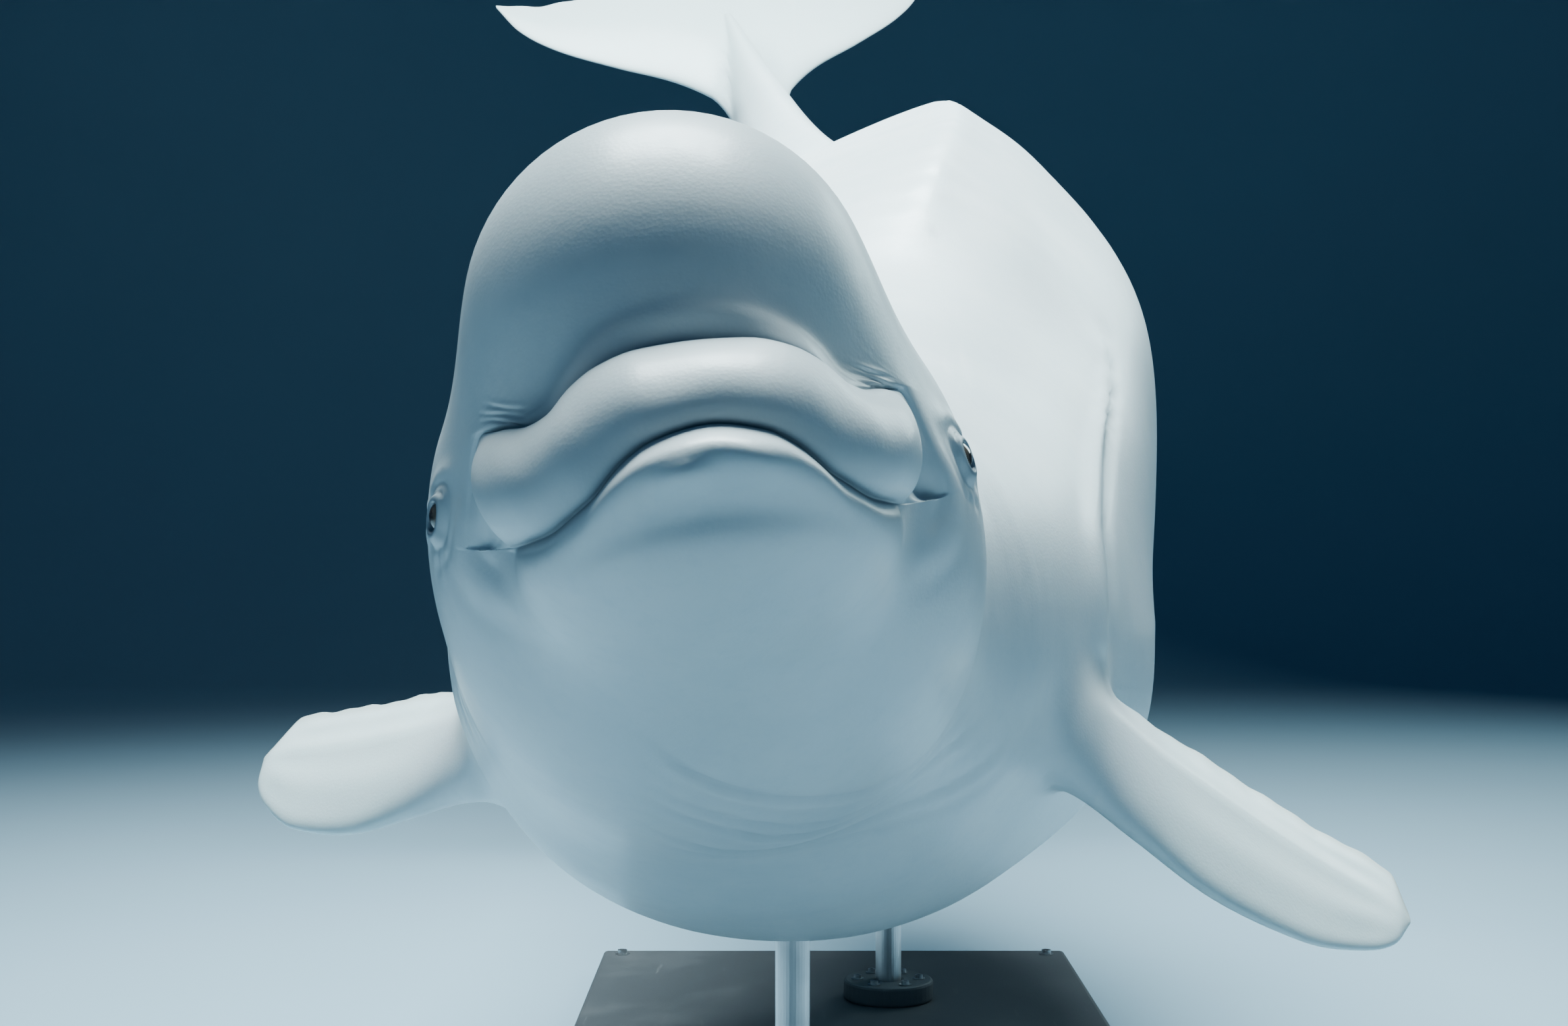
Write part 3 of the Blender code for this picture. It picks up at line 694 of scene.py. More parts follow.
class Value:
    """A shader socket that can stand in a sum."""

    def __init__(self, tree: "Shader", socket: bpy.types.NodeSocket) -> None:
        """Wraps a socket of the tree."""
        self.tree = tree
        self.socket = socket

    def maths(self, operation: str, first: "Value | float", second: "Value | float" = 0.0) -> "Value":
        """A Math node on two values."""
        return self.tree.node("ShaderNodeMath", {"operation": operation}, {0: first, 1: second})

    def __add__(self, other: "Value | float") -> "Value":
        """Sum."""
        return self.maths("ADD", self, other)

    __radd__ = __add__

    def __sub__(self, other: "Value | float") -> "Value":
        """Difference."""
        return self.maths("SUBTRACT", self, other)

    def __mul__(self, other: "Value | float") -> "Value":
        """Product."""
        return self.maths("MULTIPLY", self, other)

    __rmul__ = __mul__

    def clamp(self) -> "Value":
        """The value held between 0 and 1."""
        return self.maths("MINIMUM", self.maths("MAXIMUM", self, 0.0), 1.0)


class Shader:
    """A material's node tree and its Principled shader."""

    def __init__(self, name: str) -> None:
        """Makes an empty material of that name."""
        self.material = bpy.data.materials.new(name)
        self.material.use_nodes = True
        self.tree = self.material.node_tree
        self.shader = self.tree.nodes["Principled BSDF"]

    def node(self, kind: str, settings: dict, inputs: dict, output: int | str = 0) -> Value:
        """Adds any node.

        Args:
            kind: Type of the node.
            settings: Properties.
            inputs: Values or links by socket name or number.
            output: Socket that is returned.

        Returns:
            The output as a value.
        """
        made = self.tree.nodes.new(kind)
        for name, setting in settings.items():
            setattr(made, name, setting)
        for name, entry in inputs.items():
            if isinstance(entry, Value):
                self.tree.links.new(entry.socket, made.inputs[name])
            else:
                made.inputs[name].default_value = entry
        return Value(self, made.outputs[output])

    def place(self) -> Value:
        """Object coordinates."""
        return self.node("ShaderNodeTexCoord", {}, {}, "Object")

    def moved(self, place: Value, shift: Triple, scale: Triple) -> Value:
        """Coordinates shifted and scaled by a Mapping node."""
        return self.node("ShaderNodeMapping", {}, {"Vector": place, "Location": shift, "Scale": scale})

    def noise(self, place: Value, scale: float, detail: float = 3.0, rough: float = 0.55) -> Value:
        """Noise from 0 to 1."""
        inputs = {"Vector": place, "Scale": scale, "Detail": detail, "Roughness": rough}
        return self.node("ShaderNodeTexNoise", {}, inputs)

    def cells(self, place: Value, scale: float) -> Value:
        """Distance to the nearest of scattered points."""
        return self.node("ShaderNodeTexVoronoi", {}, {"Vector": place, "Scale": scale})

    def step(self, value: Value, low: float, high: float) -> Value:
        """Smooth step between two values."""
        inputs = {0: value, 1: low, 2: high, 3: 0.0, 4: 1.0}
        return self.node("ShaderNodeMapRange", {"interpolation_type": "SMOOTHSTEP"}, inputs)

    def attribute(self, name: str) -> Value:
        """A number kept on the mesh's points."""
        return self.node("ShaderNodeAttribute", {"attribute_name": name}, {}, "Fac")

    def mixed(self, below: Value | Colour, above: Value | Colour, share: Value) -> Value:
        """Two colours mixed.

        Args:
            below: Colour at share 0.
            above: Colour at share 1.
            share: How much of the second.

        Returns:
            The mixed colour.
        """
        ends = [(*end, 1.0) if isinstance(end, tuple) else end for end in (below, above)]
        return self.node("ShaderNodeMix", {"data_type": "RGBA"}, {0: share, 6: ends[0], 7: ends[1]}, 2)

    def bump(self, height: Value, distance: float) -> Value:
        """A Bump node at full strength."""
        inputs = {"Height": height, "Distance": distance, "Strength": 1.0}
        return self.node("ShaderNodeBump", {}, inputs)

    def finish(self, **sockets: "Value | float | Colour") -> bpy.types.Material:
        """Sets the shader's sockets.

        Args:
            sockets: Values or links by socket name, with _ for a space.

        Returns:
            The material.
        """
        for name, entry in sockets.items():
            socket = self.shader.inputs[name.replace("_", " ")]
            if isinstance(entry, Value):
                self.tree.links.new(entry.socket, socket)
            elif isinstance(entry, tuple) and len(entry) == 3 and socket.type == "RGBA":
                socket.default_value = (*entry, 1.0)
            else:
                socket.default_value = entry
        return self.material


@dataclass(frozen=True)
class SkinFinish:
    """Cool white skin, smooth and wet, with soft mottling, pores and old scratches, and painted shade in
    its folds, grooves, holes and along the mouth and crease.
    """

    white: Colour = (0.82, 0.885, 0.90)
    shade: Colour = (0.60, 0.72, 0.77)
    fin: Colour = (0.70, 0.835, 0.84)
    # Painted shade colour for folds, grooves, holes and the lines of mouth and crease; also the eyelids'
    # own darker colour and one real dark mark on the back.
    fold: Colour = (0.16, 0.22, 0.27)
    scar: Colour = (0.90, 0.94, 0.94)
    rim: Colour = (0.46, 0.47, 0.42)
    roughness: float = 0.36

    def material(self) -> bpy.types.Material:
        """Builds the skin's material."""
        made = Shader("beluga_skin")
        place = made.place()
        broad = made.noise(place, 2.6, 4.0)
        patch = made.noise(place, 11.0, 5.0, 0.6)
        fine = made.noise(place, 70.0, 4.0, 0.6)
        tone = made.step(broad * 0.55 + patch * 0.45, 0.36, 0.70)
        colour = made.mixed(self.shade, self.white, 0.55 + 0.45 * tone)
        speckle = made.step(fine, 0.50, 0.72)
        colour = made.mixed(colour, self.shade, speckle * 0.14)
        colour = made.mixed(colour, self.fin, made.attribute("fin") * 0.75)
        streaks = made.moved(place, (0.3, 0.1, 0.2), (26.0, 2.2, 9.0))
        scratch = made.step(made.noise(streaks, 1.0, 2.0, 0.5), 0.66, 0.76)
        crossed = made.moved(place, (1.3, 0.7, 0.4), (3.0, 20.0, 31.0))
        scratch = (scratch + made.step(made.noise(crossed, 1.0, 2.0, 0.5), 0.67, 0.77)).clamp()
        colour = made.mixed(colour, self.scar, scratch * 0.22)
        colour = made.mixed(colour, self.rim, made.attribute("rim") * 0.55)
        # Painted shade from the fold attribute, with the eyelids' darker colour and one real mark.
        colour = made.mixed(colour, self.fold, made.attribute("fold"))
        pores = made.cells(place, 330.0)
        grain = made.noise(place, 240.0, 3.0, 0.6)
        wrinkle = made.moved(place, (0.0, 0.0, 0.0), (14.0, 40.0, 14.0))
        crepe = made.noise(wrinkle, 1.6, 3.0, 0.6)
        height = grain * 0.5 + pores * 0.35 - scratch * 0.15 + crepe
        rough = self.roughness + 0.14 * fine + 0.08 * scratch
        return made.finish(
            Base_Color=colour,
            Roughness=rough,
            Normal=made.bump(height, 0.0002),
            Subsurface_Weight=0.12,
            Subsurface_Radius=(0.012, 0.015, 0.018),
            Subsurface_Scale=1.0,
            Specular_IOR_Level=0.5,
            Coat_Weight=0.22,
            Coat_Roughness=0.22,
        )


@dataclass(frozen=True)
class EyeFinish:
    """Dark brown wet eye with a wide pupil."""

    iris: Colour = (0.050, 0.032, 0.020)
    ring: Colour = (0.16, 0.12, 0.085)
    pupil: Colour = (0.004, 0.004, 0.005)

    def material(self, name: str) -> bpy.types.Material:
        """Builds the material of one eye.

        Args:
            name: Name of the material.

        Returns:
            The material, which reads the eye's own "iris" number.
        """
        made = Shader(name)
        radius = made.attribute("iris")
        fibres = made.noise(made.place(), 900.0, 3.0, 0.6)
        colour = made.mixed(self.iris, self.ring, made.step(radius + fibres * 0.12, 0.52, 0.66))
        colour = made.mixed(self.pupil, colour, made.step(radius + fibres * 0.05, 0.26, 0.36))
        colour = made.mixed(colour, self.pupil, made.step(radius, 0.80, 0.95))
        return made.finish(
            Base_Color=colour,
            Roughness=0.10 + 0.05 * fibres,
            Coat_Weight=1.0,
            Coat_Roughness=0.03,
        )


@dataclass(frozen=True)
class SteelFinish:
    """Steel rod brushed along its length, a little dulled in patches."""

    colour: Colour = (0.62, 0.63, 0.64)

    def material(self, name: str, along: Triple) -> bpy.types.Material:
        """Builds the steel.

        Args:
            name: Name of the material.
            along: Scale of the brushing on each axis.

        Returns:
            The material.
        """
        made = Shader(name)
        place = made.place()
        brushed = made.noise(made.moved(place, (0.0, 0.0, 0.0), along), 1.0, 4.0, 0.6)
        smear = made.noise(place, 9.0, 3.0)
        colour = made.mixed(self.colour, (0.44, 0.45, 0.46), made.step(smear, 0.45, 0.75))
        return made.finish(
            Base_Color=colour,
            Metallic=1.0,
            Roughness=0.22 + 0.16 * brushed + 0.10 * smear,
            Normal=made.bump(brushed, 0.0002),
        )


@dataclass(frozen=True)
class PaintFinish:
    """Dark powder coat on steel plate, with a fine grain and rubbed patches."""

    colour: Colour = (0.050, 0.056, 0.062)
    worn: Colour = (0.105, 0.112, 0.118)

    def material(self, name: str) -> bpy.types.Material:
        """Builds the paint of that name."""
        made = Shader(name)
        place = made.place()
        grain = made.noise(place, 620.0, 2.0, 0.5)
        dust = made.noise(place, 5.0, 5.0, 0.6)
        scuffs = made.noise(made.moved(place, (0.0, 0.0, 0.0), (60.0, 6.0, 20.0)), 1.0, 3.0)
        share = (made.step(dust, 0.45, 0.75) * 0.45 + made.step(scuffs, 0.66, 0.74) * 0.5).clamp()
        return made.finish(
            Base_Color=made.mixed(self.colour, self.worn, share),
            Roughness=0.46 + 0.16 * grain + 0.10 * share,
            Normal=made.bump(grain, 0.00035),
        )


# Meshes


def mesh_object(name: str, points: Array, faces: list[tuple[int, ...]]) -> bpy.types.Object:
    """Smooth object with outward faces.

    Args:
        name: Name of the object.
        points: Vertex places.
        faces: Vertex numbers of each face.

    Returns:
        The object, in the scene.
    """
    mesh = bpy.data.meshes.new(name)
    mesh.from_pydata(np.asarray(points).tolist(), [], faces)
    work = bmesh.new()
    work.from_mesh(mesh)
    bmesh.ops.recalc_face_normals(work, faces=work.faces)
    if work.calc_volume(signed=True) < 0:
        bmesh.ops.reverse_faces(work, faces=work.faces)
    for face in work.faces:
        face.smooth = True
    work.to_mesh(mesh)
    work.free()
    made = bpy.data.objects.new(name, mesh)
    bpy.context.scene.collection.objects.link(made)
    return made


def loft(name: str, rings: Array) -> bpy.types.Object:
    """Closed loft through rings of equal count, with a fan at each end.

    Args:
        name: Name of the object.
        rings: Points, one ring after the other.

    Returns:
        The object.
    """
    rows, columns = rings.shape[:2]
    faces = []
    for i in range(rows - 1):
        for j in range(columns):
            k = (j + 1) % columns
            faces.append((i * columns + j, (i + 1) * columns + j, (i + 1) * columns + k, i * columns + k))
    points = [*rings.reshape(-1, 3), rings[0].mean(0), rings[-1].mean(0)]
    first = rows * columns
    last = (rows - 1) * columns
    for j in range(columns):
        k = (j + 1) % columns
        faces.append((first, j, k))
        faces.append((first + 1, last + k, last + j))
    return mesh_object(name, np.array(points), faces)


def points_of(mesh: bpy.types.Mesh) -> Array:
    """Vertex places as an array."""
    found = np.empty(len(mesh.vertices) * 3, np.float32)
    mesh.vertices.foreach_get("co", found)
    return found.reshape(-1, 3).astype(float)


def plain_mesh(source: bpy.types.Object, name: str) -> bpy.types.Object:
    """The evaluated source as a new plain object, in place of the source.

    Args:
        source: Object with modifiers.
        name: Name of the new object.

    Returns:
        The new object.
    """
    bpy.context.view_layer.update()
    graph = bpy.context.evaluated_depsgraph_get()
    mesh = bpy.data.meshes.new_from_object(source.evaluated_get(graph))
    bpy.data.objects.remove(source)
    made = bpy.data.objects.new(name, mesh)
    mesh.name = name
    bpy.context.scene.collection.objects.link(made)
    return made


def seat(piece: bpy.types.Object, slot: str, material: bpy.types.Material, *nodes: str) -> None:
    """Gives a finished piece its material and body, and hides the CAD nodes that it stands for.

    Args:
        piece: The finished object.
        slot: Not used.
        material: Its material.
        nodes: CAD nodes that it replaces.
    """
    piece.data.materials.clear()
    piece.data.materials.append(material)
    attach(piece, "root")
    if nodes:
        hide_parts(*nodes)
    LOG.info("%s: %d faces", piece.name, len(piece.data.polygons))


# The animal


@dataclass
class EyeSocket:
    """One eye with its lids: place on the straight head and sizes in metres."""

    side: Side
    back: float = 0.283
    height: float = 0.002
    radius: float = 0.018
    set_in: float = 0.0135
    half_length: float = 0.0165
    half_height: float = 0.0098
    roundness: float = 1.7
    reach: float = 0.11
    tilt: float = 12.0

    def centre(self, face: Face, inset: float) -> Array:
        """Point on the side of the straight head, set in from the skin."""
        middle = np.array([-self.back, 0.0, self.height])
        way = np.array([[0.0, float(self.side.value), 0.0]])
        return middle + way[0] * (face.reach(middle, way)[0] - inset)

    def relief(self, face: Face, points: Array) -> Form:
        """Lids and folds round the eye, with painted shade in the socket and round the lids, partly the
        lids' own darker colour.

        Args:
            face: The face that carries the eye.
            points: Points of the straight skin.

        Returns:
            Distance outwards, and share of the fold colour as painted shade.
        """
        offset = points - self.centre(face, 0.0)
        near = (np.linalg.norm(offset, axis=-1) < self.reach) & (points[:, 1] * self.side.value > 0)
        tilt = math.radians(self.tilt)
        ahead = offset[:, 0] * math.cos(tilt) + offset[:, 2] * math.sin(tilt)
        above = offset[:, 2] * math.cos(tilt) - offset[:, 0] * math.sin(tilt)
        ring = np.abs(ahead / self.half_length) ** self.roundness
        ring = (ring + np.abs(above / self.half_height) ** self.roundness) ** (1 / self.roundness)
        lid = 0.0050 * smooth(0.80, 1.02, ring) * (1 - smooth(1.15, 2.3, ring))
        hollow = -0.013 * (1 - smooth(0.66, 0.98, ring))
        groove = -0.0007 * hill(ring - 2.15, 0.40)
        upper = -0.0020 * hill(ring - 1.62, 0.10) * smooth(-0.004, 0.006, above)
        brow = 0.0016 * hill(ring - 2.9, 0.7) * smooth(-0.010, 0.015, above)
        rays = np.arctan2(above, ahead)
        crow = 0.0007 * np.cos(rays * 11) * hill(ring - 3.1, 0.8) * smooth(0.2, -0.6, np.cos(rays))
        under = -0.0007 * hill(ring - 3.3, 0.45) * smooth(0.1, -0.7, np.sin(rays))
        # Painted shade in the socket and round the lids, partly the lids' own darker colour, and dark
        # dashes above and below the eye.
        dark = 0.88 * (1 - smooth(1.0, 1.5, ring)) + 0.42 * hill(ring - 1.5, 0.8)
        dark_above_below = hill(ahead + 0.004 - 0.25 * np.abs(above), 0.0075) * hill(np.abs(above) - 0.017, 0.012)
        dark = dark + 0.42 * dark_above_below
        lift = lid + hollow + groove + upper + brow + crow + under
        return lift * near, np.clip(dark, 0, 0.9) * near

    def build(self, face: Face, spine: Spine) -> None:
        """Eyeball with a low cornea, placed in the socket."""
        word = self.side.name.lower()
        work = bmesh.new()
        bmesh.ops.create_uvsphere(work, u_segments=56, v_segments=40, radius=self.radius)
        centre = self.centre(face, self.set_in)
        _, axes = spine.at(np.array(self.back))
        matrix = Matrix(axes.tolist()).to_4x4()
        matrix.translation = Vector(spine.posed(centre))
        quarter = Matrix.Rotation(math.radians(-90 * self.side.value), 4, "X")
        shares = []
        for vertex in work.verts:
            off = math.hypot(vertex.co.x, vertex.co.y) / self.radius
            bulge = 0.0016 * float(hill(off, 0.55)) if vertex.co.z > 0 else 0.0
            shares.append(off if vertex.co.z > 0 else 1.0)
            vertex.co *= 1 + bulge / self.radius
        bmesh.ops.transform(work, matrix=matrix @ quarter, verts=work.verts)
        for surface in work.faces:
            surface.smooth = True
        mesh = bpy.data.meshes.new("eyeball_" + word)
        work.to_mesh(mesh)
        work.free()
        mesh.attributes.new("iris", "FLOAT", "POINT").data.foreach_set("value", shares)
        made = bpy.data.objects.new("eyeball_" + word, mesh)
        bpy.context.scene.collection.objects.link(made)
        seat(made, "eye", EyeFinish().material("wet_eye_" + word), "eye_" + word)


class Where:
    """Places on the straight body: distance back, side, height and angle round, one for each point."""

    def __init__(self, points: Array) -> None:
        """Works the places out from the points."""
        self.points = points
        self.back = -points[:, 0]
        self.side = points[:, 1]
        self.height = points[:, 2]
        self.around = np.arctan2(self.height, self.side)
        self.degrees = np.degrees(self.around)
        self.zero = np.zeros(len(points))


@dataclass
class Skin:
    """The one skin over head, body and fins.

    fine_blowhole, fine_eyes and fine_crease_ends: Radii within which the faces are divided.
    ear: Distance back, half width and height of the ear holes.
    crease_fold_lengths: Start and length of each fold where the crease ends.
    armpit_turns: Degrees round the body where armpit_backs are given.
    mouth_painted_shade, crease_painted_shade: Width and darkness of the painted shade along the mouth and
    the crease.
    fluke_backs: Where the colour of the fins begins at the tail and is full.
    """

    face: Face
    trunk: Trunk
    spine: Spine
    flippers: list[Flipper]
    flukes: Flukes
    eyes: list[EyeSocket]
    columns: int = 204
    fine_blowhole: float = 0.050
    fine_eyes: tuple[float, float] = (0.062, 0.036)
    fine_crease_ends: tuple[float, float] = (0.042, 0.033)
    blowhole_back: float = 0.435
    blowhole_radius: float = 0.027
    fold_rows: tuple[float, ...] = (0.60, 0.655, 0.71, 0.765, 0.82)
    ear: Triple = (0.425, 0.206, 0.005)
    crease_tilts: tuple[float, float] = (0.24, -0.10)
    crease_fold_lengths: tuple[tuple[float, float], ...] = ((0.006, 0.026), (0.012, 0.022), (0.002, 0.017))
    arcs: int = 7
    arc_start: float = 0.335
    arc_spacing: float = 0.034
    armpit_turns: tuple[float, ...] = (-20, -9, 0, 14, 29, 39, 46)
    armpit_backs: tuple[float, ...] = (1.05, 1.03, 1.03, 1.07, 1.22, 1.38, 1.60)
    navel_back: float = 1.98
    slit_backs: tuple[float, float] = (2.33, 2.53)
    vent_back: float = 2.64
    # Width and darkness of the painted shade along the mouth and the crease.
    mouth_painted_shade: tuple[float, float] = (0.0045, 0.92)
    crease_painted_shade: tuple[float, float] = (0.0065, 0.52)
    mark_back: float = 1.58
    mark_turn: float = 86.0
    fluke_backs: tuple[float, float] = (3.30, 3.62)

    def angles(self) -> Array:
        """Angles of the columns, closer together along the sides."""
        even = ring_angles(self.columns)
        return even - 0.10 * np.sin(2 * even)

    def rows(self) -> tuple[Array, Array]:
        """Rows of the face, and distances back of the body's rings."""
        even = np.linspace(0, 1, 36)
        lips = self.face.crease_row * (0.3 * even + 0.7 * (0.5 - 0.5 * np.cos(np.pi * even)))
        melon = self.face.crease_row + (1 - self.face.crease_row) * np.linspace(0, 1, 58)[1:] ** 1.45
        near = np.arange(0.306, 0.44, 0.006)
        neck = np.arange(0.446, 0.92, 0.011)
        return np.concatenate([lips, melon]), np.concatenate([near, neck, np.linspace(0.932, 3.76, 146)])

    def body_rings(self, backs: Array, angles: Array) -> Array:
        """Rings of neck and trunk at the given distances back."""
        rings = []
        for back in backs:
            side, height = self.trunk.section(back, angles)
            ring = np.stack([np.full(len(angles), -back), side, height], -1)
            if back < 0.80:
                middle = np.array([-back, 0.0, -0.01])
                ways = radial(angles)
                head = middle + ways * self.face.reach(middle, ways)[:, None]
                share = smooth(0.50, 0.80, back)
                ring = head * (1 - share) + ring * share
            rings.append(ring)
        return np.array(rings)

    def straight_mesh(self) -> bpy.types.Object:
        """The straight skin, closed along the mouth and at the tail."""
        angles = self.angles()
        face_rows, backs = self.rows()
        grid = np.concatenate([self.face.rings(angles, face_rows), self.body_rings(backs, angles)])
        count, columns = grid.shape[:2]
        half = columns // 2
        numbers = np.arange(count * columns).reshape(count, columns)
        numbers[0, half + 1 :] = numbers[0, 1:half][::-1]
        faces = []
        for i in range(count - 1):
            for j in range(columns):
                k = (j + 1) % columns
                corners = [numbers[i, j], numbers[i + 1, j], numbers[i + 1, k], numbers[i, k]]
                faces.append(tuple(int(corner) for corner in dict.fromkeys(corners)))
        points = [*grid.reshape(-1, 3), grid[-1].mean(0)]
        last = (count - 1) * columns
        for j in range(columns):
            faces.append((len(points) - 1, last + (j + 1) % columns, last + j))
        made = mesh_object("beluga_skin_body", np.array(points), faces)
        work = bmesh.new()
        work.from_mesh(made.data)
        loose = [vertex for vertex in work.verts if not vertex.link_faces]
        bmesh.ops.delete(work, geom=loose, context="VERTS")
        work.to_mesh(made.data)
        work.free()
        return made

    def refine(self, body: bpy.types.Object) -> None:
        """Divides the faces round the blowhole, the eyes and the ends of the crease."""
        work = bmesh.new()
        work.from_mesh(body.data)
        spots = [(self.crown(), self.fine_blowhole)]
        for eye in self.eyes:
            spots += [(eye.centre(self.face, 0.0), radius) for radius in self.fine_eyes]
        for centre, _, _ in self.crease_ends():
            spots += [(centre, radius) for radius in self.fine_crease_ends]
        for centre, radius in spots:
            place = Vector(centre)
            near = [f for f in work.faces if (f.calc_center_median() - place).length < radius]
            edges = list({edge for surface in near for edge in surface.edges})
            bmesh.ops.subdivide_edges(work, edges=edges, cuts=1, use_grid_fill=True)
        bmesh.ops.triangulate(work, faces=[f for f in work.faces if len(f.verts) > 4])
        work.to_mesh(body.data)
        work.free()

    def crease_ends(self) -> list[tuple[Array, Array, Array]]:
        """Where the crease above the lip breaks into short folds.

        Returns:
            Place, direction outwards along the crease and direction up the melon, for each side.
        """
        found = []
        for sign in (1, -1):
            before, middle, after = self.face.crease_line(sign * np.array([0.56, 0.64, 0.72]))
            along = unit(after - before)
            out = unit(middle - self.face.middle)
            up = unit(np.cross(out, along) * sign)
            found.append((middle, along, up))
        return found

    def crown(self) -> Array:
        """Middle of the blowhole on the straight head."""
        start = np.array([-self.blowhole_back, 0.0, -0.01])
        far = self.face.reach(start, np.array([[0.0, 0.0, 1.0]]))[0]
        return start + np.array([0.0, 0.008, far])

    def blowhole(self, at: Where) -> Form:
        """Crescent blowhole, with a swollen lip in front, a ridge behind and painted shade in its slit."""
        offset = at.points - self.crown()
        near = (np.abs(offset[:, 2]) < 0.06) & (np.abs(at.back - self.blowhole_back) < 0.09)
        near = near & (at.height > 0.1)
        ring = np.hypot(offset[:, 0], offset[:, 1] * 0.82)
        behind = near * smooth(0.006, -0.010, offset[:, 0])
        slit = behind * hill(ring - self.blowhole_radius, 0.0030)
        lip = 0.0045 * hill(ring - 0.014, 0.012)
        ridge = 0.0035 * hill(ring - self.blowhole_radius - 0.010, 0.006)
        # Painted shade in the slit.
        return behind * (lip + ridge) - 0.0075 * slit, 0.92 * slit

    def ears(self, at: Where) -> Form:
        """The two ear holes, each a pinprick with painted shade in it."""
        back, aside, up = self.ear
        lift = at.zero
        dark = at.zero
        for side in Side:
            gap = np.linalg.norm(at.points - np.array([-back, side.value * aside, up]), axis=-1)
            lift = lift - 0.004 * hill(gap, 0.004)
            # Painted shade in each hole.
            dark = np.maximum(dark, 0.7 * hill(gap, 0.0035))
        return lift, dark

    def neck_folds(self, at: Where) -> Form:
        """Folds of the neck, deepest on the side that the head turns to."""
        reach_down = smooth(0.25, -0.05, at.height) * (1 - smooth(-0.06, -0.17, at.height))
        reach_down = reach_down * (0.10 + 0.60 * smooth(-0.1, 0.1, -at.side))
        lift = at.zero
        for k, place in enumerate(self.fold_rows):
            wave = 0.018 * np.sin(at.around * 2 + k) + 0.05 * np.sin(at.around) ** 2
            line = at.back - place - wave
            lift = lift + 0.0045 * reach_down * (hill(line - 0.016, 0.018) - 1.2 * hill(line, 0.009))
        return lift, at.zero

    def crease_folds(self, at: Where) -> Form:
        """Short folds side by side where the crease above the lip ends, with painted shade in their
        grooves.
        """
        lift = at.zero
        dark = at.zero
        for (middle, along, up), tilt in zip(self.crease_ends(), self.crease_tilts):
            offset = at.points - middle
            near = np.linalg.norm(offset, axis=-1) < 0.06
            run = offset @ along
            rise = offset @ up
            for k, (start, length) in enumerate(self.crease_fold_lengths):
                wave = 0.0010 * np.sin(run * 90 + 2.1 * k)
                line = rise - 0.0020 - 0.0052 * k - wave + tilt * run
                fold = near * hill(run - start, length)
                groove = fold * hill(line, 0.0017)
                lift = lift + 0.0008 * fold * hill(line - 0.0028, 0.0020) - 0.0016 * groove
                # Painted shade in each groove.
                dark = np.maximum(dark, 0.32 * groove)
        return lift, dark

    def throat_arcs(self, at: Where) -> Form:
        """Arcs round the throat, towards the side that the body turns to, with painted shade in their
        grooves.
        """
        mask = smooth(-112, -92, at.degrees) * (1 - smooth(-42, -16, at.degrees))
        lift = at.zero
        dark = at.zero
        for k in range(self.arcs):
            slant = 0.0038 * (at.degrees + 95) + 0.006 * np.sin(at.degrees / 9 + k)
            arc = at.back - self.arc_start - self.arc_spacing * k - slant
            deep = mask * (0.6 + 0.4 * math.cos(2.4 * k))
            lift = lift + deep * (0.0024 * hill(arc - 0.011, 0.009) - 0.0036 * hill(arc, 0.006))
            # Painted shade in each groove.
            dark = np.maximum(dark, 0.17 * deep * hill(arc, 0.008))
        return lift, dark

    def armpit_folds(self, at: Where) -> Form:
        """Fold from each armpit up over the shoulder."""
        path_at = curve_through(self.armpit_turns, self.armpit_backs)
        lift = at.zero
        for side in Side:
            aside = side.value * at.side
            turn = np.degrees(np.arctan2(at.height, aside))
            gap = at.back - path_at(turn)
            mask = smooth(-34, -12, turn) * (1 - smooth(38, 54, turn)) * smooth(0.05, 0.15, aside)
            lift = lift + mask * (0.0075 * hill(gap + 0.036, 0.040) - 0.0085 * hill(gap - 0.012, 0.024))
        return lift, at.zero

    def flank_rolls(self, at: Where) -> Form:
        """A long roll along each flank, deeper on the left."""
        path = -0.42 - 0.10 * np.sin((at.back - 1.0) * 2.4)
        along = smooth(1.05, 1.35, at.back) * (1 - smooth(2.25, 2.65, at.back))
        lift = at.zero
        for side, depth in ((Side.LEFT, 0.013), (Side.RIGHT, 0.010)):
            line = at.around if side is Side.LEFT else np.pi - at.around
            line = np.where(line > np.pi, line - 2 * np.pi, line)
            lift = lift + along * depth * (hill(line - path + 0.30, 0.22) - 0.9 * hill(line - path, 0.11))
        return lift, at.zero

    def belly_openings(self, at: Where) -> Form:
        """Navel, slit and vent in the middle of the belly, with painted shade in them."""
        under = (at.height < 0) & (np.abs(at.side) < 0.2)
        navel = np.hypot((at.back - self.navel_back) / 1.8, at.side)
        vent = hill(np.hypot((at.back - self.vent_back) / 1.5, at.side), 0.006)
        first, last = self.slit_backs
        slit = hill(at.side, 0.0045) * smooth(first, first + 0.03, at.back)
        slit = slit * (1 - smooth(last - 0.03, last, at.back))
        lips = hill(np.abs(at.side) - 0.016, 0.010) * smooth(first - 0.03, first + 0.05, at.back)
        lips = lips * (1 - smooth(last - 0.05, last + 0.03, at.back))
        lift = under * (0.004 * lips - 0.008 * slit - 0.006 * hill(navel, 0.007) - 0.006 * vent)
        # Painted shade in the slit, vent and navel.
        return lift, under * 0.6 * np.maximum(slit, np.maximum(vent, 0.6 * hill(navel, 0.006)))

    def mouth_corners(self, at: Where) -> Form:
        """Soft rings behind each corner of the mouth."""
        back, _, height = self.face.mouth[-1]
        ahead = back - at.back
        rise = at.height - height
        spread = np.hypot(ahead, rise)
        rear = smooth(0.010, -0.012, ahead) * (np.abs(at.side) > 0.10)
        rear = rear * smooth(0.09, 0.03, np.abs(rise + 0.01))
        rings = 0.0022 * hill(spread - 0.034, 0.018) - 0.0016 * hill(spread - 0.012, 0.009)
        return rear * (rings - 0.0007 * hill(spread - 0.062, 0.012)), at.zero

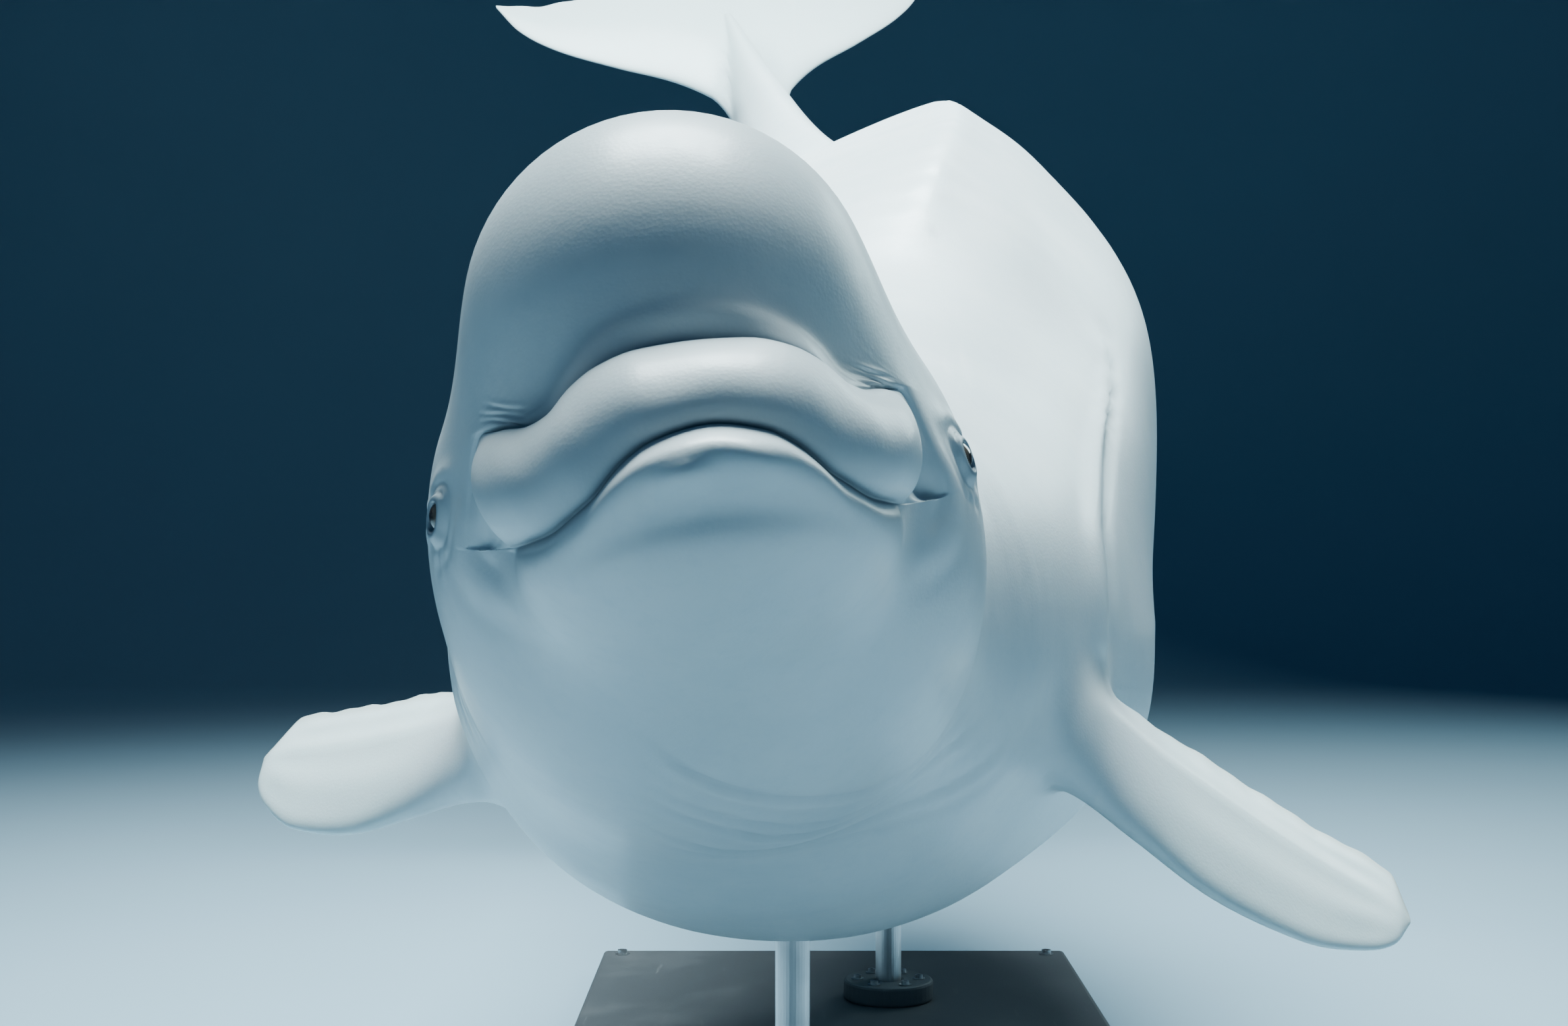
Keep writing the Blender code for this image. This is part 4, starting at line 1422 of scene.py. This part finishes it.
    def soft_fat(self, at: Where) -> Form:
        """Soft unevenness of the fat under the skin of the trunk."""
        coarse = np.sin(at.back * 9.1 + 1.3) * np.sin(at.around * 3 + 0.4)
        fine = np.sin(at.back * 15.7) * np.sin(at.around * 5 + 2)
        trunk = smooth(0.7, 1.2, at.back) * (1 - smooth(2.6, 3.2, at.back))
        return 0.0016 * (coarse + fine) * trunk, at.zero

    def relief(self, points: Array) -> Form:
        """Small forms of the straight body, and the painted shade in its folds, grooves, holes and
        openings.

        Args:
            points: Points of the straight skin.

        Returns:
            Distance outwards, and share of the fold colour.
        """
        at = Where(points)
        forms = [eye.relief(self.face, points) for eye in self.eyes]
        for form in (
            self.blowhole,
            self.ears,
            self.neck_folds,
            self.crease_folds,
            self.throat_arcs,
            self.armpit_folds,
            self.flank_rolls,
            self.belly_openings,
            self.mouth_corners,
            self.soft_fat,
        ):
            forms.append(form(at))
        return sum(lift for lift, _ in forms), np.max([dark for _, dark in forms], axis=0)

    def lines_painted_shade(self, points: Array) -> Array:
        """Painted shade along the mouth and the crease above the lip.

        Args:
            points: Points of the straight skin.

        Returns:
            Share of the fold colour as painted shade.
        """
        dark = np.zeros(len(points))
        near = points[:, 0] > -0.30
        some = points[near]
        u = np.linspace(-0.99, 0.99, 220)
        mouth = (self.face.mouth_line(u), *self.mouth_painted_shade)
        crease = (self.face.crease_line(u), *self.crease_painted_shade)
        for line, width, most in (mouth, crease):
            tree = KDTree(len(line))
            for i, place in enumerate(line):
                tree.insert(place, i)
            tree.balance()
            found = [tree.find(place)[1:] for place in some]
            off_centre = np.abs(u[[number for number, _ in found]])
            faded = most * smooth(0.94, 0.72, off_centre)
            # Painted shade: a narrow dark line and a wider, fainter band of shade round each line.
            wide_shade_share = 0.30 + 0.25 * smooth(0.30, 0.50, off_centre)
            gaps = np.array([gap for _, gap in found])
            shade = (1 - wide_shade_share) * hill(gaps, width) + wide_shade_share * hill(gaps, 3.2 * width)
            dark[near] = np.maximum(dark[near], faded * shade)
        return dark

    def push(self, mesh: bpy.types.Mesh) -> None:
        """Moves the straight skin out by its relief, then bends it into the pose."""
        points = points_of(mesh)
        normals = np.empty(len(mesh.vertices) * 3, np.float32)
        mesh.vertices.foreach_get("normal", normals)
        lift, _ = self.relief(points)
        points = points + normals.reshape(-1, 3) * lift[:, None]
        mesh.vertices.foreach_set("co", self.spine.posed(points).ravel().astype(np.float32))
        mesh.update()

    def joined(self, body: bpy.types.Object) -> bpy.types.Object:
        """The body with its fins united to it and the joins softened."""
        fins = [loft("fin_" + fin.side.name.lower(), fin.build(self.spine)) for fin in self.flippers]
        fins.append(loft("fin_tail", self.flukes.build(self.spine)))
        marks = [bpy.data.materials.new("mark_body"), bpy.data.materials.new("mark_fin")]
        for mark in marks:
            body.data.materials.append(mark)
        for fin in fins:
            for mark in marks:
                fin.data.materials.append(mark)
            for surface in fin.data.polygons:
                surface.material_index = 1
            change = body.modifiers.new("unite_" + fin.name, "BOOLEAN")
            change.operation = "UNION"
            change.object = fin
            change.solver = "MANIFOLD"
        made = plain_mesh(body, "beluga_skin")
        for fin in fins:
            bpy.data.objects.remove(fin)
        self.soften(made.data)
        for surface in made.data.polygons:
            surface.material_index = 0
        return made

    @staticmethod
    def soften(mesh: bpy.types.Mesh, radius: float = 0.045, rounds: int = 40) -> None:
        """Relaxes the skin near the joins of the fins.

        Args:
            mesh: The united skin, with the fins' faces marked.
            radius: How far from a join the skin moves.
            rounds: How often it is relaxed.
        """
        work = bmesh.new()
        work.from_mesh(mesh)
        bmesh.ops.remove_doubles(work, verts=work.verts, dist=0.0002)
        seam = [e for e in work.edges if len({f.material_index for f in e.link_faces}) > 1]
        tree = KDTree(2 * len(seam))
        for i, vertex in enumerate([v for edge in seam for v in edge.verts]):
            tree.insert(vertex.co, i)
        tree.balance()
        near = []
        for vertex in work.verts:
            distance = tree.find(vertex.co)[2] if seam else 1.0
            if distance < radius:
                near.append((vertex, 1 - float(smooth(radius * 0.3, radius, distance))))
        for _ in range(rounds):
            moved = []
            for vertex, share in near:
                around = [edge.other_vert(vertex).co for edge in vertex.link_edges]
                middle = sum(around, Vector()) / len(around)
                moved.append(vertex.co.lerp(middle, 0.5 * share))
            for (vertex, _), place in zip(near, moved):
                vertex.co = place
        work.to_mesh(mesh)
        work.free()

    def tint(self, mesh: bpy.types.Mesh) -> None:
        """Writes the numbers that the skin's finish reads: painted shade in folds and holes with one real
        dark mark, fins and thin rims.
        """
        points = points_of(mesh)
        straight = self.spine.straightened(points)
        _, dark = self.relief(straight)
        on_fin = np.zeros(len(points))
        rim = np.zeros(len(points))
        for fin in self.flippers:
            local = fin.local(self.spine, points)
            share = local[:, 0] / fin.span
            inside = (np.abs(local[:, 1]) < 0.13) & (np.abs(local[:, 2]) < 0.09)
            inside = inside & (share > 0) & (share < 1.05)
            on_fin = np.maximum(on_fin, inside * smooth(0.18, 0.42, share))
            trail = curve_through(fin.steps, fin.trail)(np.clip(share, 0, 1))
            edge = hill(local[:, 1] + trail, 0.012) + 0.6 * hill(share - 1, 0.02)
            rim = np.maximum(rim, inside * np.clip(edge, 0, 1) * smooth(0.2, 0.4, share))
        tail = smooth(*self.fluke_backs, -straight[:, 0])
        on_fin = np.maximum(on_fin, tail)
        # Painted shade of folds, holes, mouth and crease, kept off the fins.
        dark = np.maximum(dark * (on_fin < 0.3), self.lines_painted_shade(straight) * (on_fin < 0.1))
        spot = np.linalg.norm(straight - self.mark_place(), axis=-1)
        dark = np.maximum(dark, 0.45 * hill(spot, 0.008))
        # fold holds the painted shade and the real mark; fin and rim hold the fins' own colours.
        for name, values in (("fold", dark), ("fin", on_fin), ("rim", rim)):
            layer = mesh.attributes.new(name, "FLOAT", "POINT")
            layer.data.foreach_set("value", values.astype(np.float32))

    def mark_place(self) -> Array:
        """A small dark mark on the left of the back."""
        side, height = self.trunk.section(self.mark_back, np.array([math.radians(self.mark_turn)]))
        return np.array([-self.mark_back, side[0], height[0]])

    def build(self) -> None:
        """Builds, unites and dresses the skin."""
        body = self.straight_mesh()
        self.refine(body)
        self.push(body.data)
        made = self.joined(body)
        self.tint(made.data)
        seat(made, "skin", SkinFinish().material(), *FLESH)


# The stand


class Tree:
    """A Geometry Nodes tree that ends in Realize Instances and Set Material."""

    def __init__(self, name: str, inputs: dict[str, tuple[str, float | tuple]]) -> None:
        """Makes the tree and its named inputs.

        Args:
            name: Name of the tree.
            inputs: Socket type and value by name.
        """
        self.tree = bpy.data.node_groups.new(name, "GeometryNodeTree")
        self.tree.interface.new_socket("Geometry", in_out="OUTPUT", socket_type="NodeSocketGeometry")
        self.given = {}
        for title, (kind, value) in inputs.items():
            socket = self.tree.interface.new_socket(title, in_out="INPUT", socket_type=kind)
            self.given[title] = (socket.identifier, value)
        self.entry = self.tree.nodes.new("NodeGroupInput")

    def node(self, kind: str, settings: dict, inputs: dict, output: int | str = 0) -> bpy.types.NodeSocket:
        """Adds a node.

        Args:
            kind: Type of the node.
            settings: Properties.
            inputs: Values or sockets by name or number.
            output: Socket that is returned.

        Returns:
            The output socket.
        """
        made = self.tree.nodes.new(kind)
        for name, setting in settings.items():
            setattr(made, name, setting)
        for name, entry in inputs.items():
            for one in entry if isinstance(entry, list) else [entry]:
                if isinstance(one, bpy.types.NodeSocket):
                    self.tree.links.new(one, made.inputs[name])
                else:
                    made.inputs[name].default_value = one
        return made.outputs[output]

    def make(
        self, result: bpy.types.NodeSocket, name: str, material: bpy.types.Material
    ) -> bpy.types.Object:
        """Runs the tree into a plain mesh.

        Args:
            result: The geometry made by the nodes.
            name: Name of the object.
            material: Material of the whole result.

        Returns:
            The object.
        """
        real = self.node("GeometryNodeRealizeInstances", {}, {0: result})
        dressed = self.node("GeometryNodeSetMaterial", {}, {"Geometry": real, "Material": material})
        end = self.tree.nodes.new("NodeGroupOutput")
        self.tree.links.new(dressed, end.inputs[0])
        holder = bpy.data.objects.new(name + "_source", bpy.data.meshes.new(name + "_source"))
        bpy.context.scene.collection.objects.link(holder)
        change = holder.modifiers.new("build", "NODES")
        change.node_group = self.tree
        for identifier, value in self.given.values():
            change[identifier] = value
        return plain_mesh(holder, name)


@dataclass
class Stand:
    """Flat base, two rods, their collars and the screws that hold them.

    head_height, washer_reach and socket_reach: Shares of a screw's radius.
    """

    screws: int = 6
    screw_ring: float = 0.048
    screw_radius: float = 0.0062
    corner_inset: float = 0.035
    corner_scale: float = 1.3
    clearance: float = 0.0004
    head_height: float = 0.9
    washer_reach: float = 1.55
    washer_thickness: float = 0.0014
    socket_reach: float = 0.52
    facets: int = 28

    def screw(self, tree: Tree) -> bpy.types.NodeSocket:
        """One cap screw on a washer, with a hexagon socket."""
        given = tree.entry.outputs
        height, wide, narrow = (
            tree.node("ShaderNodeMath", {"operation": "MULTIPLY"}, {0: given["Radius"], 1: share})
            for share in (self.head_height, self.washer_reach, self.socket_reach)
        )
        cylinder = "GeometryNodeMeshCylinder"
        sizes = {"Vertices": self.facets, "Radius": given["Radius"], "Depth": height}
        head = tree.node(cylinder, {}, sizes)
        sizes = {"Vertices": self.facets, "Radius": wide, "Depth": self.washer_thickness}
        washer = tree.node(cylinder, {}, sizes)
        recess = tree.node(cylinder, {}, {"Vertices": 6, "Radius": narrow, "Depth": height})
        up = tree.node("ShaderNodeCombineXYZ", {}, {"Z": height})
        half = tree.node("ShaderNodeVectorMath", {"operation": "SCALE"}, {0: up, "Scale": 0.62})
        recess = tree.node("GeometryNodeTransform", {}, {"Geometry": recess, "Translation": half})
        cut = {"Mesh 1": head, "Mesh 2": recess}
        head = tree.node("GeometryNodeMeshBoolean", {"operation": "DIFFERENCE"}, cut)
        lift = tree.node("ShaderNodeVectorMath", {"operation": "SCALE"}, {0: up, "Scale": 0.5})
        head = tree.node("GeometryNodeTransform", {}, {"Geometry": head, "Translation": lift})
        return tree.node("GeometryNodeJoinGeometry", {}, {0: [head, washer]})

    def top_of(self, lowest: Vector, highest: Vector) -> Triple:
        """Middle of the top of a box, a hair above it."""
        return (lowest.x + highest.x) / 2, (lowest.y + highest.y) / 2, highest.z + self.clearance

    def place_screws(
        self, tree: Tree, points: bpy.types.NodeSocket, name: str, steel: bpy.types.Material
    ) -> None:
        """Puts a screw on each point.

        Args:
            tree: Tree with the inputs Place and Radius.
            points: The points, round the tree's place.
            name: Name of the piece.
            steel: Material of the screws.
        """
        inputs = {"Geometry": points, "Translation": tree.entry.outputs["Place"]}
        moved = tree.node("GeometryNodeTransform", {}, inputs)
        inputs = {"Points": moved, "Instance": self.screw(tree)}
        spread = tree.node("GeometryNodeInstanceOnPoints", {}, inputs)
        seat(tree.make(spread, name, steel), "steel", steel)

    def ring_of_screws(self, node: str, name: str, steel: bpy.types.Material) -> None:
        """Screws in a ring on one collar.

        Args:
            node: CAD node of the collar.
            name: Name of the piece.
            steel: Material of the screws.
        """
        tree = Tree(name + "_tree", {
            "Count": ("NodeSocketInt", self.screws),
            "Ring": ("NodeSocketFloat", self.screw_ring),
            "Radius": ("NodeSocketFloat", self.screw_radius),
            "Place": ("NodeSocketVector", self.top_of(*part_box(node))),
        })
        given = tree.entry.outputs
        sizes = {"Vertices": given["Count"], "Radius": given["Ring"]}
        circle = tree.node("GeometryNodeMeshCircle", {}, sizes)
        self.place_screws(tree, circle, name, steel)

    def corner_screws(self, steel: bpy.types.Material) -> None:
        """One screw near each corner of the base."""
        lowest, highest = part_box("stand_base")
        tree = Tree("corner_screws_tree", {
            "Length": ("NodeSocketFloat", highest.x - lowest.x - 2 * self.corner_inset),
            "Width": ("NodeSocketFloat", highest.y - lowest.y - 2 * self.corner_inset),
            "Radius": ("NodeSocketFloat", self.screw_radius * self.corner_scale),
            "Place": ("NodeSocketVector", self.top_of(lowest, highest)),
        })
        given = tree.entry.outputs
        sizes = {"Size X": given["Length"], "Size Y": given["Width"], "Vertices X": 2, "Vertices Y": 2}
        grid = tree.node("GeometryNodeMeshGrid", {}, sizes)
        self.place_screws(tree, grid, "corner_screws", steel)

    def build(self) -> None:
        """Gives the stand's nodes their finish and adds the screws."""
        rod = SteelFinish().material("brushed_rod", (900.0, 900.0, 9.0))
        screw = SteelFinish((0.50, 0.51, 0.52)).material("plated_screw", (400.0, 400.0, 400.0))
        plate = PaintFinish().material("powder_coat_plate")
        collar = PaintFinish((0.075, 0.082, 0.088)).material("powder_coat_collar")
        finishes = {
            "stand_base": plate,
            "stand_collar_front": collar,
            "stand_collar_rear": collar,
            "stand_rod_front": rod,
            "stand_rod_rear": rod,
        }
        for node, material in finishes.items():
            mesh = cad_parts[node].data
            mesh.materials.clear()
            mesh.materials.append(material)
            LOG.info("%s: dressed", node)
        self.ring_of_screws("stand_collar_front", "collar_screws_front", screw)
        self.ring_of_screws("stand_collar_rear", "collar_screws_rear", screw)
        self.corner_screws(screw)


# The studio


@dataclass(frozen=True)
class Lamp:
    """A soft rectangular light.

    place: Where it hangs.
    aim: Where it points.
    size: Its width and height.
    power: Its power in watts.
    spread: How wide it shines, in degrees.
    """

    name: str
    place: Triple
    aim: Triple
    size: tuple[float, float]
    power: float
    colour: Colour
    spread: float = 180.0

    def hang(self) -> None:
        """Puts the light into the scene."""
        light = bpy.data.lights.new(self.name, "AREA")
        light.shape = "RECTANGLE"
        light.size, light.size_y = self.size
        light.spread = math.radians(self.spread)
        light.energy = self.power
        light.color = self.colour
        made = bpy.data.objects.new(self.name, light)
        made.location = self.place
        way = Vector(self.aim) - Vector(self.place)
        made.rotation_euler = way.to_track_quat("-Z", "Y").to_euler()
        bpy.context.scene.collection.objects.link(made)


@dataclass
class Studio:
    """Pale floor and wall, soft light and the camera."""

    spine: Spine
    focal_pixels: float = 3106.6
    photo_width: float = 2380.0
    sensor_width: float = 36.0
    floor: Colour = (0.28, 0.41, 0.50)
    wall_back: float = 9.0
    wall_height: float = 12.0
    floor_front: float = -14.0
    half_width: float = 16.0
    bend: float = 2.5
    sunk: float = 0.0005
    sky: Colour = (0.16, 0.42, 0.80)
    sky_strength: float = 0.11
    lamps: tuple[Lamp, ...] = (
        Lamp("overhead", (-0.2, 0.1, 4.8), (0.0, 0.1, 0.9), (2.0, 2.6), 290.0, (0.80, 0.97, 1.0), 96.0),
        Lamp("front_fill", (-2.6, -5.5, 2.2), (0.0, -0.6, 0.9), (3.0, 2.0), 3.5, (0.30, 0.62, 1.0)),
        Lamp("rear_rim", (3.6, 3.4, 3.2), (0.0, 0.4, 1.1), (2.4, 2.0), 95.0, (0.70, 0.97, 1.0)),
    )

    def backdrop(self) -> None:
        """Floor that sweeps up into a wall behind."""
        turns = np.linspace(0, np.pi / 2, 24)
        profile = [(self.floor_front, 0.0)]
        for turn in turns:
            y = self.wall_back - self.bend + self.bend * math.sin(turn)
            profile.append((y, self.bend - self.bend * math.cos(turn)))
        profile.append((self.wall_back, self.wall_height))
        points = []
        faces = []
        for i, (y, z) in enumerate(profile):
            points += [(-self.half_width, y, z - self.sunk), (self.half_width, y, z - self.sunk)]
            if i:
                faces.append((2 * i - 2, 2 * i - 1, 2 * i + 1, 2 * i))
        mesh = bpy.data.meshes.new("studio_floor")
        mesh.from_pydata(points, [], faces)
        for surface in mesh.polygons:
            surface.use_smooth = True
        made = bpy.data.objects.new("studio_floor", mesh)
        bpy.context.scene.collection.objects.link(made)
        paint = Shader("pale_floor")
        mottle = paint.noise(paint.place(), 1.5, 4.0)
        colour = paint.mixed(self.floor, tuple(0.93 * c for c in self.floor), mottle)
        mesh.materials.append(paint.finish(Base_Color=colour, Roughness=0.75))

    def build(self) -> None:
        """Sets up floor, world, lights and camera."""
        self.backdrop()
        world = bpy.data.worlds.new("soft_room")
        world.use_nodes = True
        background = world.node_tree.nodes["Background"]
        background.inputs["Color"].default_value = (*self.sky, 1.0)
        background.inputs["Strength"].default_value = self.sky_strength
        bpy.context.scene.world = world
        for lamp in self.lamps:
            lamp.hang()
        camera = bpy.data.cameras.new("photo_view")
        camera.sensor_width = self.sensor_width
        camera.lens = self.sensor_width * self.focal_pixels / self.photo_width
        camera.dof.use_dof = False
        made = bpy.data.objects.new("photo_view", camera)
        made.location = Vector(self.spine.shift)
        made.rotation_euler = (math.pi / 2, 0.0, 0.0)
        bpy.context.scene.collection.objects.link(made)
        bpy.context.scene.camera = made


def main() -> None:
    """Builds the whole scene in order."""
    face = Face()
    trunk = Trunk()
    spine = Spine()
    flippers = [
        Flipper(Side.LEFT, (21.0, 36.5, 30.0), (0.947, 0.287, -0.077), 0.490),
        Flipper(Side.RIGHT, (36.0, 12.7, 42.5), (0.979, 0.265, -0.114), 0.550),
    ]
    eyes = [EyeSocket(Side.LEFT), EyeSocket(Side.RIGHT)]
    Skin(face, trunk, spine, flippers, Flukes(), eyes).build()
    for eye in eyes:
        eye.build(face, spine)
    Stand().build()
    Studio(spine).build()


if __name__ == "__main__":
    main()
